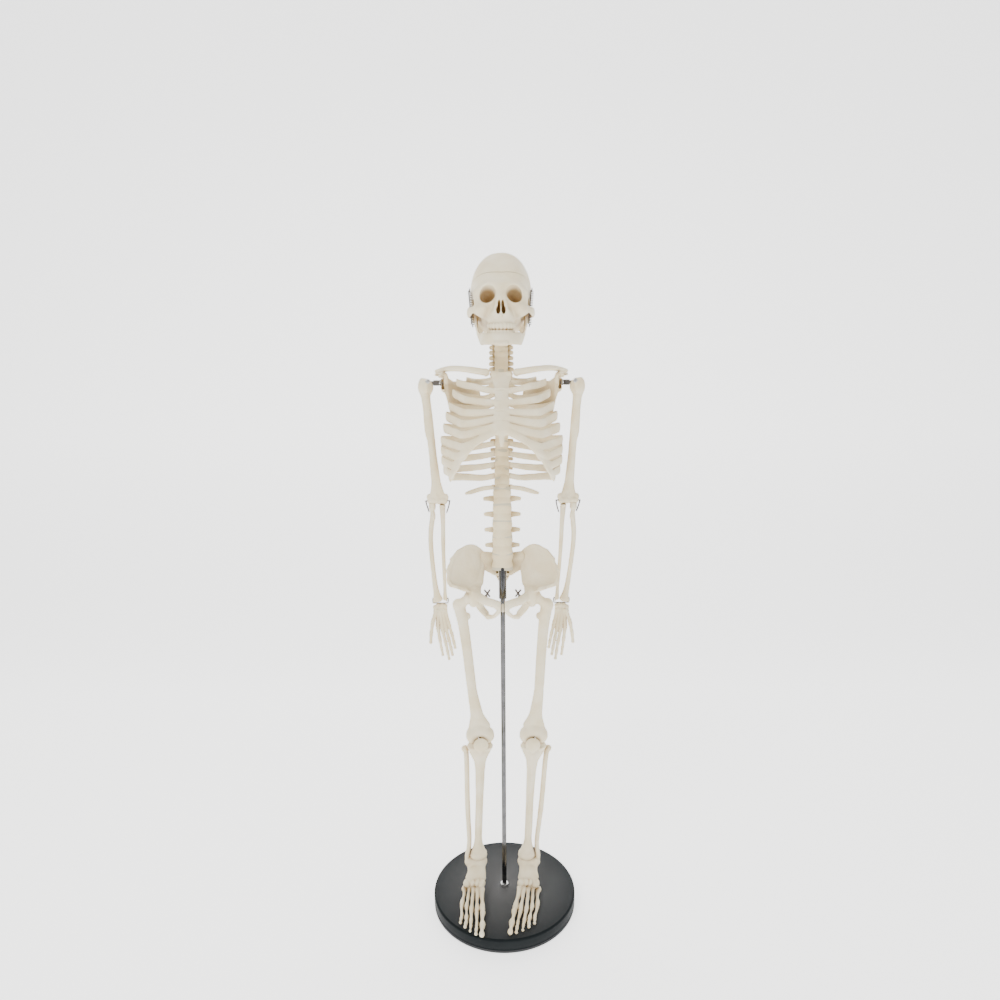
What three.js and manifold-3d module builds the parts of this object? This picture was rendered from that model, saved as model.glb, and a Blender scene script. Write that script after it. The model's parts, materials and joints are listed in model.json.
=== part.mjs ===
// A half-size human skeleton model on a rod and round foot. Millimetres, +Z up, the face looks along -Y.
// The origin is the centre of the foot's underside.
// Bones that come in pairs are drawn on the +X side and mirrored.
import * as THREE from 'three';
import { mergeVertices } from 'three/addons/utils/BufferGeometryUtils.js';
import Module from 'manifold-3d';

const wasm = await Module();
wasm.setup();

// ---- Driving dimensions

const GAP = 0.3;
const FOOT = { radius: 102.35, height: 20, plate: 4, rim: 5, boss: 14 };
const ROD = { radius: 3.2, bottom: 1.2, top: 481 };
const SLEEVE = { radius: 5, bottom: 446, top: 487 };
const SKULL_TOP = 850;
const CAP_CUT = 813;
const WALL = 3.2;
const SHOULDER = [74.5, 12, 711];
const ELBOW = [84, 18, 571];
const WRIST = [81.5, 22, 437];
const HIP = [38.6, -8, 450];
const KNEE = [36.4, -9, 257];
const ANKLE = [38.6, 0, 60];
const NECK_TOP = 764;
const CHEST_TOP = 723;
const LOIN_TOP = 583;
const LOIN_BOTTOM = 487.6;

// How far each level of a hanging limb leans towards +X: height, then offset.
const ARM_LEAN = [[711, 0], [571, 1], [437, -2.5], [350, -1]];
const LEG_LEAN = [[450, 0], [257, 4.6], [60, -2.85], [0, -2.85]];
const FOOT_TURN = THREE.MathUtils.degToRad(-5);

const FINISH = {
  bone: { color: 0xe9e2cf, roughness: 0.55, metalness: 0 },
  spine: { color: 0xe3d7b3, roughness: 0.6, metalness: 0 },
  disc: { color: 0xcfc7ae, roughness: 0.65, metalness: 0 },
  chrome: { color: 0xc9ccd0, roughness: 0.15, metalness: 1 },
  steel: { color: 0x9a9a98, roughness: 0.35, metalness: 1 },
  dark: { color: 0x4c4741, roughness: 0.45, metalness: 1 },
  black: { color: 0x1c1c1e, roughness: 0.6, metalness: 0 },
};

// ---- Shapes

const point = (p) => new THREE.Vector3(...p);
const UP = [0, 0, 1];
const BACK = [0, 1, 0];
const SIDE = [1, 0, 0];

// The closed solid inside a three.js geometry, ready for cuts and joins.
function solid(geometry) {
  const bare = geometry.clone();
  bare.deleteAttribute('normal');
  bare.deleteAttribute('uv');
  const merged = mergeVertices(bare, 1e-4);
  return new wasm.Manifold(new wasm.Mesh({
    numProp: 3,
    vertProperties: Float32Array.from(merged.attributes.position.array),
    triVerts: Uint32Array.from(merged.index.array),
  }));
}

const join = (...parts) => wasm.Manifold.union(parts.flat());

// The first shape less the others. Loose chips that the cut leaves are dropped.
function cut(shape, ...tools) {
  const left = shape.subtract(join(tools)).decompose();
  return left.reduce((largest, piece) => (piece.volume() > largest.volume() ? piece : largest));
}

function between(values, t) {
  const place = THREE.MathUtils.clamp(t, 0, 1) * (values.length - 1);
  const low = Math.min(Math.floor(place), Math.max(values.length - 2, 0));
  const high = Math.min(low + 1, values.length - 1);
  const pairOf = (value) => (Array.isArray(value) ? value : [value, value]);
  return pairOf(values[low]).map((v, i) => THREE.MathUtils.lerp(v, pairOf(values[high])[i], place - low));
}

const grown = (sizes, by) => sizes.map((size) => (Array.isArray(size) ? size.map((half) => half + by) : size + by));

// A bar along a curve through the points. Each size is [half width, half depth], and the depth
// lies along the facing direction, which may change from place to place.
function bar(points, sizes, { facing = BACK, sides = 6, steps = 1 } = {}) {
  const curve = new THREE.CatmullRomCurve3(points.map(point));
  const skin = new THREE.CylinderGeometry(1, 1, 1, sides, (points.length - 1) * steps);
  const place = skin.attributes.position;
  for (let i = 0; i < place.count; i += 1) {
    const t = THREE.MathUtils.clamp(place.getY(i) + 0.5, 0, 1);
    const centre = curve.getPoint(t);
    const along = curve.getTangent(t);
    const front = point(typeof facing === 'function' ? facing(centre) : facing);
    const across = front.cross(along).negate().normalize();
    const through = across.clone().cross(along);
    const [wide, deep] = between(sizes, t);
    centre.addScaledVector(across, place.getX(i) * wide);
    centre.addScaledVector(through, place.getZ(i) * deep);
    place.setXYZ(i, centre.x, centre.y, centre.z);
  }
  return solid(skin);
}

function ball(centre, size, detail = 8) {
  const skin = new THREE.SphereGeometry(1, detail, Math.round(detail * 0.6));
  const [x, y, z] = Array.isArray(size) ? size : [size, size, size];
  skin.scale(x, y, z);
  skin.translate(...centre);
  return solid(skin);
}

function block(low, high) {
  const size = point(high).sub(point(low));
  const skin = new THREE.BoxGeometry(size.x, size.y, size.z);
  skin.translate(...point(high).add(point(low)).multiplyScalar(0.5).toArray());
  return solid(skin);
}

// A straight round pin from one point to another.
function pin(from, to, radius, sides = 12) {
  const start = point(from);
  const along = point(to).sub(start);
  const skin = new THREE.CylinderGeometry(radius, radius, along.length(), sides);
  skin.applyQuaternion(new THREE.Quaternion().setFromUnitVectors(point(BACK), along.clone().normalize()));
  skin.translate(...start.addScaledVector(along, 0.5).toArray());
  return solid(skin);
}

// A flat three-cornered plate.
function plate(corners, thickness) {
  const [a, b, c] = corners.map(point);
  const across = b.clone().sub(a).normalize();
  const normal = across.clone().cross(c.clone().sub(a)).normalize();
  const up = normal.clone().cross(across);
  const flat = [a, b, c].map((p) => p.clone().sub(a)).map((p) => new THREE.Vector2(p.dot(across), p.dot(up)));
  const skin = new THREE.ExtrudeGeometry(new THREE.Shape(flat), { depth: thickness, bevelEnabled: false });
  skin.translate(0, 0, -thickness / 2);
  skin.applyMatrix4(new THREE.Matrix4().makeBasis(across, up, normal).setPosition(a));
  return solid(skin);
}

// A round part about a vertical axis. The profile's [radius, height] points go outwards along its
// top and back inwards along its bottom.
function turned(profile, sides = 32) {
  const skin = new THREE.LatheGeometry(profile.toReversed().map((p) => new THREE.Vector2(...p)), sides);
  skin.rotateX(Math.PI / 2);
  return solid(skin);
}

function geometryOf(shape) {
  const mesh = shape.getMesh();
  const geometry = new THREE.BufferGeometry();
  geometry.setAttribute('position', new THREE.BufferAttribute(Float32Array.from(mesh.vertProperties), 3));
  geometry.setIndex(Array.from(mesh.triVerts));
  return geometry;
}

function mirrored(geometry) {
  const copy = geometry.clone().scale(-1, 1, 1);
  const order = copy.index.array;
  for (let i = 0; i < order.length; i += 3) [order[i + 1], order[i + 2]] = [order[i + 2], order[i + 1]];
  return copy;
}

// Moves each point of a limb sideways by the lean of its level.
function lean(geometry, levels) {
  const place = geometry.attributes.position;
  for (let i = 0; i < place.count; i += 1) {
    const z = place.getZ(i);
    let next = 1;
    while (next < levels.length - 1 && z < levels[next][0]) next += 1;
    const [[high, from], [low, to]] = [levels[next - 1], levels[next]];
    const t = THREE.MathUtils.clamp((high - z) / (high - low), 0, 1);
    place.setX(i, place.getX(i) + THREE.MathUtils.lerp(from, to, t));
  }
  return geometry;
}

// ---- The assembly

const model = new THREE.Group();

function addGeometry(name, geometry, finish) {
  geometry.computeVertexNormals();
  const mesh = new THREE.Mesh(geometry, new THREE.MeshStandardMaterial(FINISH[finish]));
  mesh.name = name;
  model.add(mesh);
}

const add = (name, shape, finish) => addGeometry(name, geometryOf(shape), finish);

// The same piece on both sides, each moved by settle after mirroring.
function addPair(name, shape, finish, settle = (geometry) => geometry) {
  const left = geometryOf(shape);
  addGeometry(`${name}_left`, settle(left.clone(), 1), finish);
  addGeometry(`${name}_right`, settle(mirrored(left), -1), finish);
}

const hangArm = (geometry) => lean(geometry, ARM_LEAN);
const hangLeg = (geometry) => lean(geometry, LEG_LEAN);

// ---- Stand

function stand() {
  const { radius, height, plate: top, rim, boss } = FOOT;
  const hole = ROD.radius + GAP;
  const outline = [
    [hole, height], [radius - 2, height], [radius - 0.6, height - 0.6], [radius, height - 2],
    [radius, 2], [radius - 1, 0], [radius - rim - 1, 0], [radius - rim - 1, height - top],
    [boss, height - top], [boss, 6], [hole, 6], [hole, height],
  ];
  add('base_disc', turned(outline, 36), 'black');
  const nut = (bottom, top2) => cut(pin([0, 0, bottom], [0, 0, top2], 6.2, 6), pin([0, 0, 0], [0, 0, 30], hole));
  add('base_nut', nut(height + GAP, height + 3.6), 'steel');
  add('lock_nut', nut(1.6, 6 - GAP), 'steel');
  add('stand_rod', pin([0, 0, ROD.bottom], [0, 0, ROD.top], ROD.radius, 16), 'chrome');
  const sleeve = [
    [0, SLEEVE.top], [SLEEVE.radius, SLEEVE.top], [SLEEVE.radius, SLEEVE.bottom],
    [hole, SLEEVE.bottom], [hole, SLEEVE.top - 4], [0, SLEEVE.top - 4],
  ];
  add('rod_sleeve', turned(sleeve, 20), 'chrome');
}

// ---- Spine

const SPINE_LINE = new THREE.CatmullRomCurve3([
  [0, 4, 487], [0, -2, 512], [0, 0, 548], [0, 8, 583], [0, 20, 618],
  [0, 27, 655], [0, 22, 690], [0, 10, 723], [0, 4, 745], [0, 10, 766],
].map(point));

// The depth of the spine's line at a height.
function spineY(z) {
  let [low, high] = [0, 1];
  for (let i = 0; i < 20; i += 1) {
    const middle = (low + high) / 2;
    if (SPINE_LINE.getPoint(middle).z < z) low = middle;
    else high = middle;
  }
  return SPINE_LINE.getPoint(low).y;
}

// A run of vertebrae with their discs. spread is how far the side processes reach, spur how far
// the rear ones do and drop how far those fall. grow thickens the run, for cuts that clear it.
function spineRun({ bottom, top, count, wide, deep, spread, spur, drop, sweep }, grow = 0) {
  const step = (top - bottom) / count;
  const column = [];
  const sizes = [];
  for (let i = 0; i <= count * 2; i += 1) {
    const t = i / (count * 2);
    const z = bottom + t * (top - bottom);
    const waist = i % 2 ? 0.86 : 1;
    column.push([0, spineY(z), z]);
    sizes.push([THREE.MathUtils.lerp(...wide, t) * waist + grow, THREE.MathUtils.lerp(...deep, t) * waist + grow]);
  }
  column[0][2] -= grow;
  column.at(-1)[2] += grow;
  const parts = [bar(column, sizes, { sides: 8 })];
  for (let i = 0; i < count; i += 1) {
    const z = bottom + (i + 0.5) * step;
    const t = (i + 0.5) / count;
    const y = spineY(z) + THREE.MathUtils.lerp(...deep, t);
    const reach = THREE.MathUtils.lerp(...spread, t);
    const half = step * 0.17 + grow;
    parts.push(bar([[-reach, y + sweep, z], [0, y - 1, z], [reach, y + sweep, z]], [half * 0.8, half * 1.3, half * 0.8],
      { facing: UP }));
    parts.push(bar([[0, y - 2, z], [0, y + spur, z - drop]], [[1.2 + grow, half * 1.5], [1 + grow, half]],
      { facing: UP, sides: 4 }));
  }
  return join(parts);
}

const LOIN = {
  bottom: LOIN_BOTTOM, top: LOIN_TOP - GAP, count: 5, wide: [13, 11], deep: [9, 8], spread: [17, 24], spur: 13, drop: 1, sweep: 2,
};
const CHEST = {
  bottom: LOIN_TOP, top: CHEST_TOP, count: 12, wide: [10.2, 7.5], deep: [8, 6.5], spread: [12, 16], spur: 13, drop: 9, sweep: 8,
};
const NECK = {
  bottom: CHEST_TOP + GAP, top: NECK_TOP, count: 7, wide: [8.5, 8], deep: [6, 5.5], spread: [14, 13], spur: 10, drop: 3, sweep: 1,
};

function spine() {
  const seat = pin([0, 0, SLEEVE.bottom], [0, 0, SLEEVE.top + GAP], SLEEVE.radius + GAP, 20);
  add('lumbar_spine', cut(spineRun(LOIN), seat), 'spine');
  add('thoracic_spine', cut(spineRun(CHEST), spineRun(LOIN, GAP)), 'spine');
  add('cervical_spine', cut(spineRun(NECK), spineRun(CHEST, GAP)), 'spine');
}

// ---- Rib cage

// Each rib: its widest point [x, z], where its cartilage starts, and where that ends.
const RIBS = [
  { side: [41, 712], front: [27, -19, 704], end: [8, -25, 703.5] },
  { side: [53, 709], front: [32, -30, 697.5], end: [5, -32.5, 691.5] },
  { side: [58, 697], front: [38, -34, 682], end: [5, -37.5, 678.5] },
  { side: [63, 682.5], front: [41, -37, 668], end: [5, -41, 668] },
  { side: [67, 671], front: [42, -39, 655.5], end: [5, -43.5, 660] },
  { side: [70.5, 657.5], front: [43, -41, 643.5], end: [5, -46, 652] },
  { side: [74, 643], front: [44, -42, 630], end: [5, -47, 647] },
  { side: [74, 632], front: [52, -37, 620], end: [34, -45, 631] },
  { side: [73.5, 620], front: [57, -31, 610.5], end: [43, -41, 621] },
  { side: [71, 608.5], front: [60, -25, 601.5], end: [51, -36, 611] },
  { side: [64, 600], front: [63, -13, 597], end: [58, -26, 601] },
];

// The ribs leave the spine at steps that widen downwards.
const ribRoot = (number) => 719 - 9.2 * number - 0.25 * number * number;

const chestOut = (p) => [p.x, (p.y + 4) * 1.2, 0];

function rib(number, { side, front, end }) {
  const root = ribRoot(number);
  const y = spineY(root);
  const line = [
    [9, y + 4, root], [side[0] * 0.38, y + 13, root - 2],
    [side[0] * 0.76, y * 0.75 + 12, THREE.MathUtils.lerp(root, side[1], 0.6)], [side[0], 2, side[1]],
    [side[0] * 0.4 + front[0] * 0.6, front[1] * 0.62, THREE.MathUtils.lerp(side[1], front[2], 0.7)], front,
    [(front[0] + end[0]) / 2, (front[1] + end[1]) / 2 - 2, (front[2] + end[2]) / 2 - 1], end,
  ];
  return bar(line, [[3, 1.7], [3.2, 1.6], [3.5, 1.5], [3.7, 1.5], [3.9, 1.5], [4.1, 1.6], [4, 1.7], [3.8, 1.8]],
    { facing: chestOut, sides: 5 });
}

const mirrorShape = (shape) => solid(mirrored(geometryOf(shape)));

function ribCage() {
  const side = join(RIBS.map((ends, number) => rib(number, ends)));
  const handle = bar([[0, -24, 713], [0, -28, 704], [0, -33, 693]], [[12, 2.2], [11, 2.4], [6.5, 2.2]]);
  const blade = bar([[0, -33, 694], [0, -41, 670], [0, -47, 648], [0, -47.5, 642]],
    [[6.5, 2.2], [7, 2.2], [8, 2.2], [5, 2]]);
  const tip = bar([[0, -47.5, 644], [0, -47, 629]], [[3.2, 1.4], [1.5, 1]]);
  return cut(join(side, mirrorShape(side), handle, blade, tip), spineRun(CHEST, 0.5));
}

function lastRib() {
  const root = ribRoot(11);
  const line = [[9, spineY(root) + 4, root], [26, 27, 586], [40, 27, 582], [48, 22, 579]];
  return cut(bar(line, [[2.6, 1.5], [3, 1.4], [2.8, 1.4], [1.8, 1.1]], { facing: (p) => [p.x, p.y + 4, 0] }),
    spineRun(CHEST, 0.5));
}

// ---- Shoulder girdle

const COLLAR_LINE = [[16, -28, 715.5], [38, -31, 718.5], [57, -15, 723.5], [69, 2, 725.5], [79, 9, 723.5]];
const collar = (grow = 0) => bar(COLLAR_LINE, grown([3.4, 3, 2.8, 3, 3], grow), { facing: UP, steps: 2 });

function shoulderBlade(cage) {
  const [x, y, z] = SHOULDER;
  const neck = [x - 7, y + 3, z - 3];
  const upper = [32, 42, 715];
  const inner = [27, 49, 690];
  const lower = [46, 46, 640];
  const parts = [
    plate([neck, upper, inner], 2),
    plate([neck, inner, lower], 2),
    bar([neck, [62, 30, 676], lower], [[1.8, 2.6], [2.2, 2], [2.4, 2]]),
    bar([upper, inner, [34, 50, 662], lower], [1.6], { facing: SIDE }),
    bar([upper, [52, 30, 713], neck], [1.5, 1.6, 3]),
    bar([[28, 50, 697], [50, 40, 708], [70, 26, 719], [80, 17, 722]], [[1.4, 3], [1.6, 3.4], [2.4, 3.2], [2.2, 3.4]],
      { facing: UP }),
    bar([[x - 8, y - 1, z + 1], [x - 7, y - 10, z + 7], [x - 1, y - 20, z + 3]], [3, 2.6, 2.2], { facing: UP }),
    ball([x - 2, y + 1, z - 1], [4.5, 6, 9]),
  ];
  const slot = block([x - 3.4, y - 1.9, z - 8], [x + 9, y + 1.9, z + 12]);
  return cut(join(parts), collar(0.4), slot, shoulderPin(0.35), cage);
}

const shoulderPin = (grow = 0) => pin(
  [SHOULDER[0], SHOULDER[1] - 5.6 - grow, SHOULDER[2]], [SHOULDER[0], SHOULDER[1] + 5.6 + grow, SHOULDER[2]], 1 + grow);

// A flat steel link: its inner eye hangs on the pin and its outer stud runs into the arm.
function shoulderLink(grow = 0) {
  const [x, y, z] = SHOULDER;
  const eye = pin([x, y - 1.5 - grow, z], [x, y + 1.5 + grow, z], 2.5);
  const strip = block([x, y - 1.5, z - 2.2], [x + 8.4, y + 1.5, z + 2.2]);
  const stud = pin([x + 8, y, z], [x + 17 + grow, y, z], 1.4 + grow);
  return cut(join(eye, strip, stud), shoulderPin(0.35));
}

function shoulders(cage) {
  addPair('clavicle', collar(), 'bone');
  addPair('scapula', shoulderBlade(cage), 'bone');
  addPair('shoulder_pin', shoulderPin(), 'steel');
  addPair('shoulder_link', shoulderLink(), 'dark', hangArm);
}

// ---- Arms

const armScrew = (grow = 0) => join(
  pin([SHOULDER[0] + 14.5, 3 - grow, 711], [SHOULDER[0] + 14.5, 5, 711], 2 + grow),
  pin([SHOULDER[0] + 14.5, 4, 711], [SHOULDER[0] + 14.5, 9.4 + grow, 711], 1 + grow),
);

const elbowPin = (grow = 0) => pin([ELBOW[0] - 15.4 - grow, ELBOW[1], ELBOW[2]],
  [ELBOW[0] + 14.8 + grow, ELBOW[1], ELBOW[2]], 0.8 + grow, 8);

function upperArm() {
  const [x, y, z] = ELBOW;
  const parts = [
    ball([92.5, 12, 706.5], [9.8, 9.5, 11], 10),
    bar([[93.5, 12, 705], [92, 12, 690], [89.5, 13, 660], [87, 15, 625], [85, y - 1, 592], [84, y, 577]],
      [[7.5, 7.5], [5.6, 5.6], [4.6, 4.6], [4.4, 4.2], [5.4, 4], [10, 3.6]], { sides: 8 }),
    pin([x - 8, y, z], [x + 10.5, y, z], 4.6),
    ball([x - 11, y, z + 4], [3.6, 3.2, 4.6], 8),
    ball([x + 11, y, z + 4], [3.2, 3.2, 4.6], 8),
  ];
  return cut(join(parts), shoulderLink(GAP), armScrew(GAP), elbowPin(0.35));
}

function ulna() {
  const [x, y, z] = ELBOW;
  const [wx, wy, wz] = WRIST;
  const parts = [
    bar([[x - 6, y + 7.2, z + 4], [x - 6, y + 5, z - 5], [x - 6.5, y + 1, z - 14], [x - 7, y + 1, z - 60],
      [wx - 6, wy, wz + 18], [wx - 6.5, wy, wz + 5]],
    [[3.4, 2], [4, 3.4], [3.6, 3.6], [2.9, 2.9], [2.3, 2.3], [3, 3]]),
    bar([[x - 6, y + 4, z - 6.5], [x - 6, y - 4.5, z - 5.5]], [[4, 2], [3, 1.4]], { facing: UP }),
  ];
  return cut(join(parts), pin([x - 12, y, z], [x + 12, y, z], 5.1, 16));
}

function radius() {
  const [x, y, z] = ELBOW;
  const [wx, wy, wz] = WRIST;
  return join(
    bar([[x + 7, y, z - 6], [x + 7, y, z - 13], [x + 9, y, z - 50], [wx + 7, wy - 1, wz + 30], [wx + 3, wy - 1, wz + 4.5]],
      [[4.4, 4.4], [2.8, 2.8], [3.4, 3], [3.4, 3], [6, 4]]),
    pin([x + 7, y, z - 5.2], [x + 7, y, z - 8.4], 4.6),
  );
}

// The steel wire through the elbow. Its ends bend down beside the two forearm bones.
function elbowWire() {
  const [x, y, z] = ELBOW;
  return join(
    elbowPin(),
    bar([[x - 15.3, y, z + 0.6], [x - 14.4, y, z - 7], [x - 11.4, y + 1, z - 15]], [0.8], { sides: 8 }),
    bar([[x + 14.9, y, z + 0.6], [x + 13.6, y, z - 7], [x + 11.2, y, z - 14]], [0.8], { sides: 8 }),
  );
}

const wristPin = (grow = 0) => pin([WRIST[0] - 10.5 - grow, WRIST[1], WRIST[2]],
  [WRIST[0] + 10.5 + grow, WRIST[1], WRIST[2]], 0.7 + grow, 8);

function wristWire() {
  const [x, y, z] = WRIST;
  const loop = (side) => bar([[x + side * 10.2, y, z], [x + side * 10.4, y, z + 7]], [0.7], { sides: 8 });
  return join(wristPin(), loop(-1), loop(1));
}

// Each finger's points from its root to its tip.
const FINGERS = [
  [[86, 21, 428], [86.5, 20, 405], [84, 20, 384], [81.5, 22, 363]],
  [[82.5, 21, 427], [80.5, 20, 403], [76.5, 20, 381], [73, 22, 357]],
  [[79, 22, 427], [75.5, 21, 403], [71.5, 21, 383], [68, 22, 363]],
  [[76, 23, 428], [71, 22, 406], [67, 22, 390], [64, 22, 373]],
];
const THUMB = [[88, 20, 430], [94, 16, 413], [97, 14, 398], [99, 13, 382]];

function hand() {
  const [x, y, z] = WRIST;
  const digits = FINGERS.map((line) => bar(line, [[2.3, 2], [2.4, 2.1], [2.1, 1.9], [1.3, 1.2]]));
  return cut(join(digits, bar(THUMB, [[2.6, 2.2], [2.6, 2.2], [2.3, 2], [1.4, 1.3]]),
    ball([x, y, z - 6.5], [9.4, 4, 6.2]), ball([x, y, z - 1], [3.2, 3, 4])), wristPin(0.35));
}

function arms() {
  addPair('humerus', upperArm(), 'bone', hangArm);
  addPair('humerus_screw', armScrew(), 'steel', hangArm);
  addPair('ulna', ulna(), 'bone', hangArm);
  addPair('radius', radius(), 'bone', hangArm);
  addPair('elbow_wire', elbowWire(), 'steel', hangArm);
  addPair('hand', hand(), 'bone', hangArm);
  addPair('wrist_wire', wristWire(), 'steel', hangArm);
}

// ---- Pelvis

const sacrum = (grow = 0) => join(
  bar([[0, 13, 500], [0, 18, 489], [0, 26, 475], [0, 28, 462 - grow]],
    grown([[20, 6], [21, 6.5], [11, 4.5], [3.5, 2.4]], grow)),
  bar([[-26.5, 13, 499.5], [0, 14, 495], [26.5, 13, 499.5]], grown([[7, 5], [7, 6], [7, 5]], grow)),
);

const hipBolt = (grow = 0) => pin([HIP[0] - 13.5 - grow, HIP[1], HIP[2]], [HIP[0] + 8 + grow, HIP[1], HIP[2]], 1.5 + grow);

function hipBone() {
  const socket = [HIP[0] - 3, HIP[1] + 2, HIP[2] + 9];
  const crest = [[27, 15, 506], [40, 6, 516], [58, -6, 505], [68, -12, 489], [62, -27, 471], [46, -23, 460]];
  const wing = crest.slice(1).map((corner, i) => plate([socket, crest[i], corner], 2.4));
  const parts = [
    ...wing,
    bar(crest, [[2.6, 2.6], [2.4, 2.4], [2.6, 2.6], [2.4, 2.4], [2.6, 2.6], [2.6, 2.6]], { facing: UP }),
    bar([[27, 17, 500], [26, 14, 484], [31, 6, 472], socket], [[3, 4], [3.4, 4], [3.8, 4], [5, 5]]),
    ball([HIP[0] - 3, HIP[1], HIP[2]], [10.5, 14.5, 14.5], 10),
    bar([[HIP[0] - 5, -18, 453], [22, -29, 448.5], [10, -35, 445.5], [2, -36, 443]], [[4, 4], [4, 3.4], [4, 3.2], [5.4, 3.2]]),
    bar([[3.5, -36, 442], [5, -33, 434], [13, -14, 424], [20, 4, 420]], [[3.6, 3], [3.2, 3], [2.6, 2.6], [4, 4]]),
    bar([[HIP[0] - 6, 1, 444], [29, 9, 433], [21, 7, 423]], [[5, 5], [5, 5], [4.6, 4.2]]),
  ];
  const reach = 2.6;
  return cut(join(parts), ball(HIP, 11.6, 12), hipBolt(0.35), sacrum(0.4), hipCotter(0.35),
    block([-40, -60, 400], [reach, 40, 520]), spineRun(LOIN, 0.5));
}

// The split pin through the hip bolt's inner end, seen as a dark cross inside the pelvis.
function hipCotter(grow = 0) {
  const [x, y, z] = [HIP[0] - 15.4, HIP[1], HIP[2]];
  return join(
    pin([x, y - 3.2, z - 4.2], [x, y + 3.2, z + 4.2], 0.8 + grow, 8),
    pin([x, y + 3.2, z - 4.2], [x, y - 3.2, z + 4.2], 0.8 + grow, 8),
  );
}

function pelvis() {
  add('sacrum', cut(sacrum(), spineRun(LOIN, 0.4)), 'spine');
  add('pubic_disc', block([-2.2, -38, 435], [2.2, -33.4, 445]), 'disc');
  addPair('hip_bone', hipBone(), 'bone');
  addPair('hip_bolt', hipBolt(), 'steel');
  addPair('hip_cotter', hipCotter(), 'dark');
}

// ---- Legs

const kneePin = (grow = 0) => pin([KNEE[0] - 19.6 - grow, KNEE[1], KNEE[2]],
  [KNEE[0] + 19.6 + grow, KNEE[1], KNEE[2]], 1 + grow, 8);
const anklePin = (grow = 0) => pin([ANKLE[0] - 15.6 - grow, ANKLE[1], ANKLE[2]],
  [ANKLE[0] + 15.6 + grow, ANKLE[1], ANKLE[2]], 1 + grow, 8);

function femur() {
  const [x, y, z] = KNEE;
  const knuckle = (side) => ball([x + side * 9.8, y + 1, z + 3], [9.2, 11, 11.6], 10);
  const parts = [
    ball(HIP, 10.8, 12),
    bar([HIP, [47, -7, 445], [56, -5, 439]], [6, 5.4, 6.4]),
    ball([59, -4, 438.5], [6.5, 7, 7.6]),
    bar([[57.5, -4, 440], [56, -5, 432], [52, -7, 410], [48.8, -8, 379], [44.6, -9, 325], [39.6, -9, 288], [x, y, z + 10]],
      [[6, 6], [7.4, 6.8], [7, 6.4], [6.6, 6.2], [6.4, 6], [9.5, 7], [16.6, 9]], { sides: 8 }),
    knuckle(-1),
    knuckle(1),
  ];
  const lug = block([x - 2.2, y - 14, z - 13], [x + 2.2, y + 14, z + 7]);
  return cut(join(parts), hipBolt(GAP), kneePin(0.35), lug, block([x - 30, y - 30, z - 20], [x + 30, y + 30, z - 8.6]),
    patella(0.4));
}

function patella(grow = 0) {
  const [x, y, z] = KNEE;
  return ball([x - 1.6, y - 13.8, z - 6], [10.2 + grow, 3.6 + grow, 11.4 + grow]);
}

// The shin's stem, which the fibula is cut clear of.
const tibiaStem = (grow = 0) => join(
  bar([[KNEE[0], KNEE[1], KNEE[2] - 11.8 + grow], [KNEE[0], KNEE[1] + 1, KNEE[2] - 24], [KNEE[0] - 1, KNEE[1] + 1, KNEE[2] - 42]],
    grown([[18, 10.5], [13, 8.5], [6.5, 6.4]], grow), { sides: 10 }),
  bar([[KNEE[0] - 1, KNEE[1] + 1, KNEE[2] - 38], [KNEE[0] - 1, KNEE[1] + 4, 160], [ANKLE[0] - 3, ANKLE[1], 98],
    [ANKLE[0] - 4, ANKLE[1], ANKLE[2] + 9.5 - grow]], grown([[7, 6.6], [5.6, 5.4], [5.4, 5.2], [9.5, 8]], grow), { sides: 8 }),
);

function tibia() {
  const [x, y, z] = KNEE;
  const [ax, ay, az] = ANKLE;
  const lug = block([x - 1.8, y - 4, z - 16], [x + 1.8, y + 4, z + 3.6]);
  const inner = bar([[ax - 13, ay, az + 12], [ax - 13.4, ay, az - 2]], [[2.4, 5], [1.9, 3.4]]);
  return cut(join(tibiaStem(), lug, inner), kneePin(0.35), anklePin(0.35));
}

function fibula() {
  const [x, y, z] = KNEE;
  const [ax, ay, az] = ANKLE;
  const line = [[x + 20.6, y + 8, z - 19], [x + 18.4, y + 8, z - 34], [x + 15.6, y + 8, 150], [ax + 10, ay + 2, 92],
    [ax + 13, ay, az + 8], [ax + 13, ay, az - 5]];
  return cut(bar(line, [[4.2, 4], [3.1, 3.1], [3.1, 3], [2.8, 2.8], [3, 4], [1.9, 3.2]]), anklePin(0.35), tibiaStem(0.4));
}

// Each toe's points from the instep to its tip.
const TOES = [
  [[32, -12, 40], [24, -50, 30], [20, -78, 25.5], [18, -99, 26]],
  [[36, -12, 40], [31, -52, 29], [27, -80, 24.5], [26, -97, 25]],
  [[40, -11, 38], [38, -51, 28], [35, -77, 24], [34, -92, 24.5]],
  [[44, -8, 35], [44, -48, 26.5], [42, -72, 23.6], [41.5, -86, 24.2]],
  [[48, 0, 29], [50.5, -42, 25], [49.5, -64, 23.4], [49, -79, 24]],
];

function foot() {
  const [x, y, z] = ANKLE;
  const toes = TOES.map((line, i) => bar(line, [[3.4, 3.4], [i ? 2.4 : 3.6, i ? 2.4 : 3.4], [i ? 2.4 : 3.8, 2.6], [1.8, 1.7]]));
  const parts = [
    ...toes,
    pin([x - 9.4, y, z], [x + 9.4, y, z], 8, 14),
    bar([[x - 2, y + 2, z - 4], [x - 1, y + 8, z - 20], [x - 1, y + 19, z - 29]], [[8.5, 9], [7.4, 9], [6.4, 7]]),
    ball([x + 1, y - 12, z - 20], [12.5, 14, 9]),
  ];
  return cut(join(parts), anklePin(0.35));
}

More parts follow.
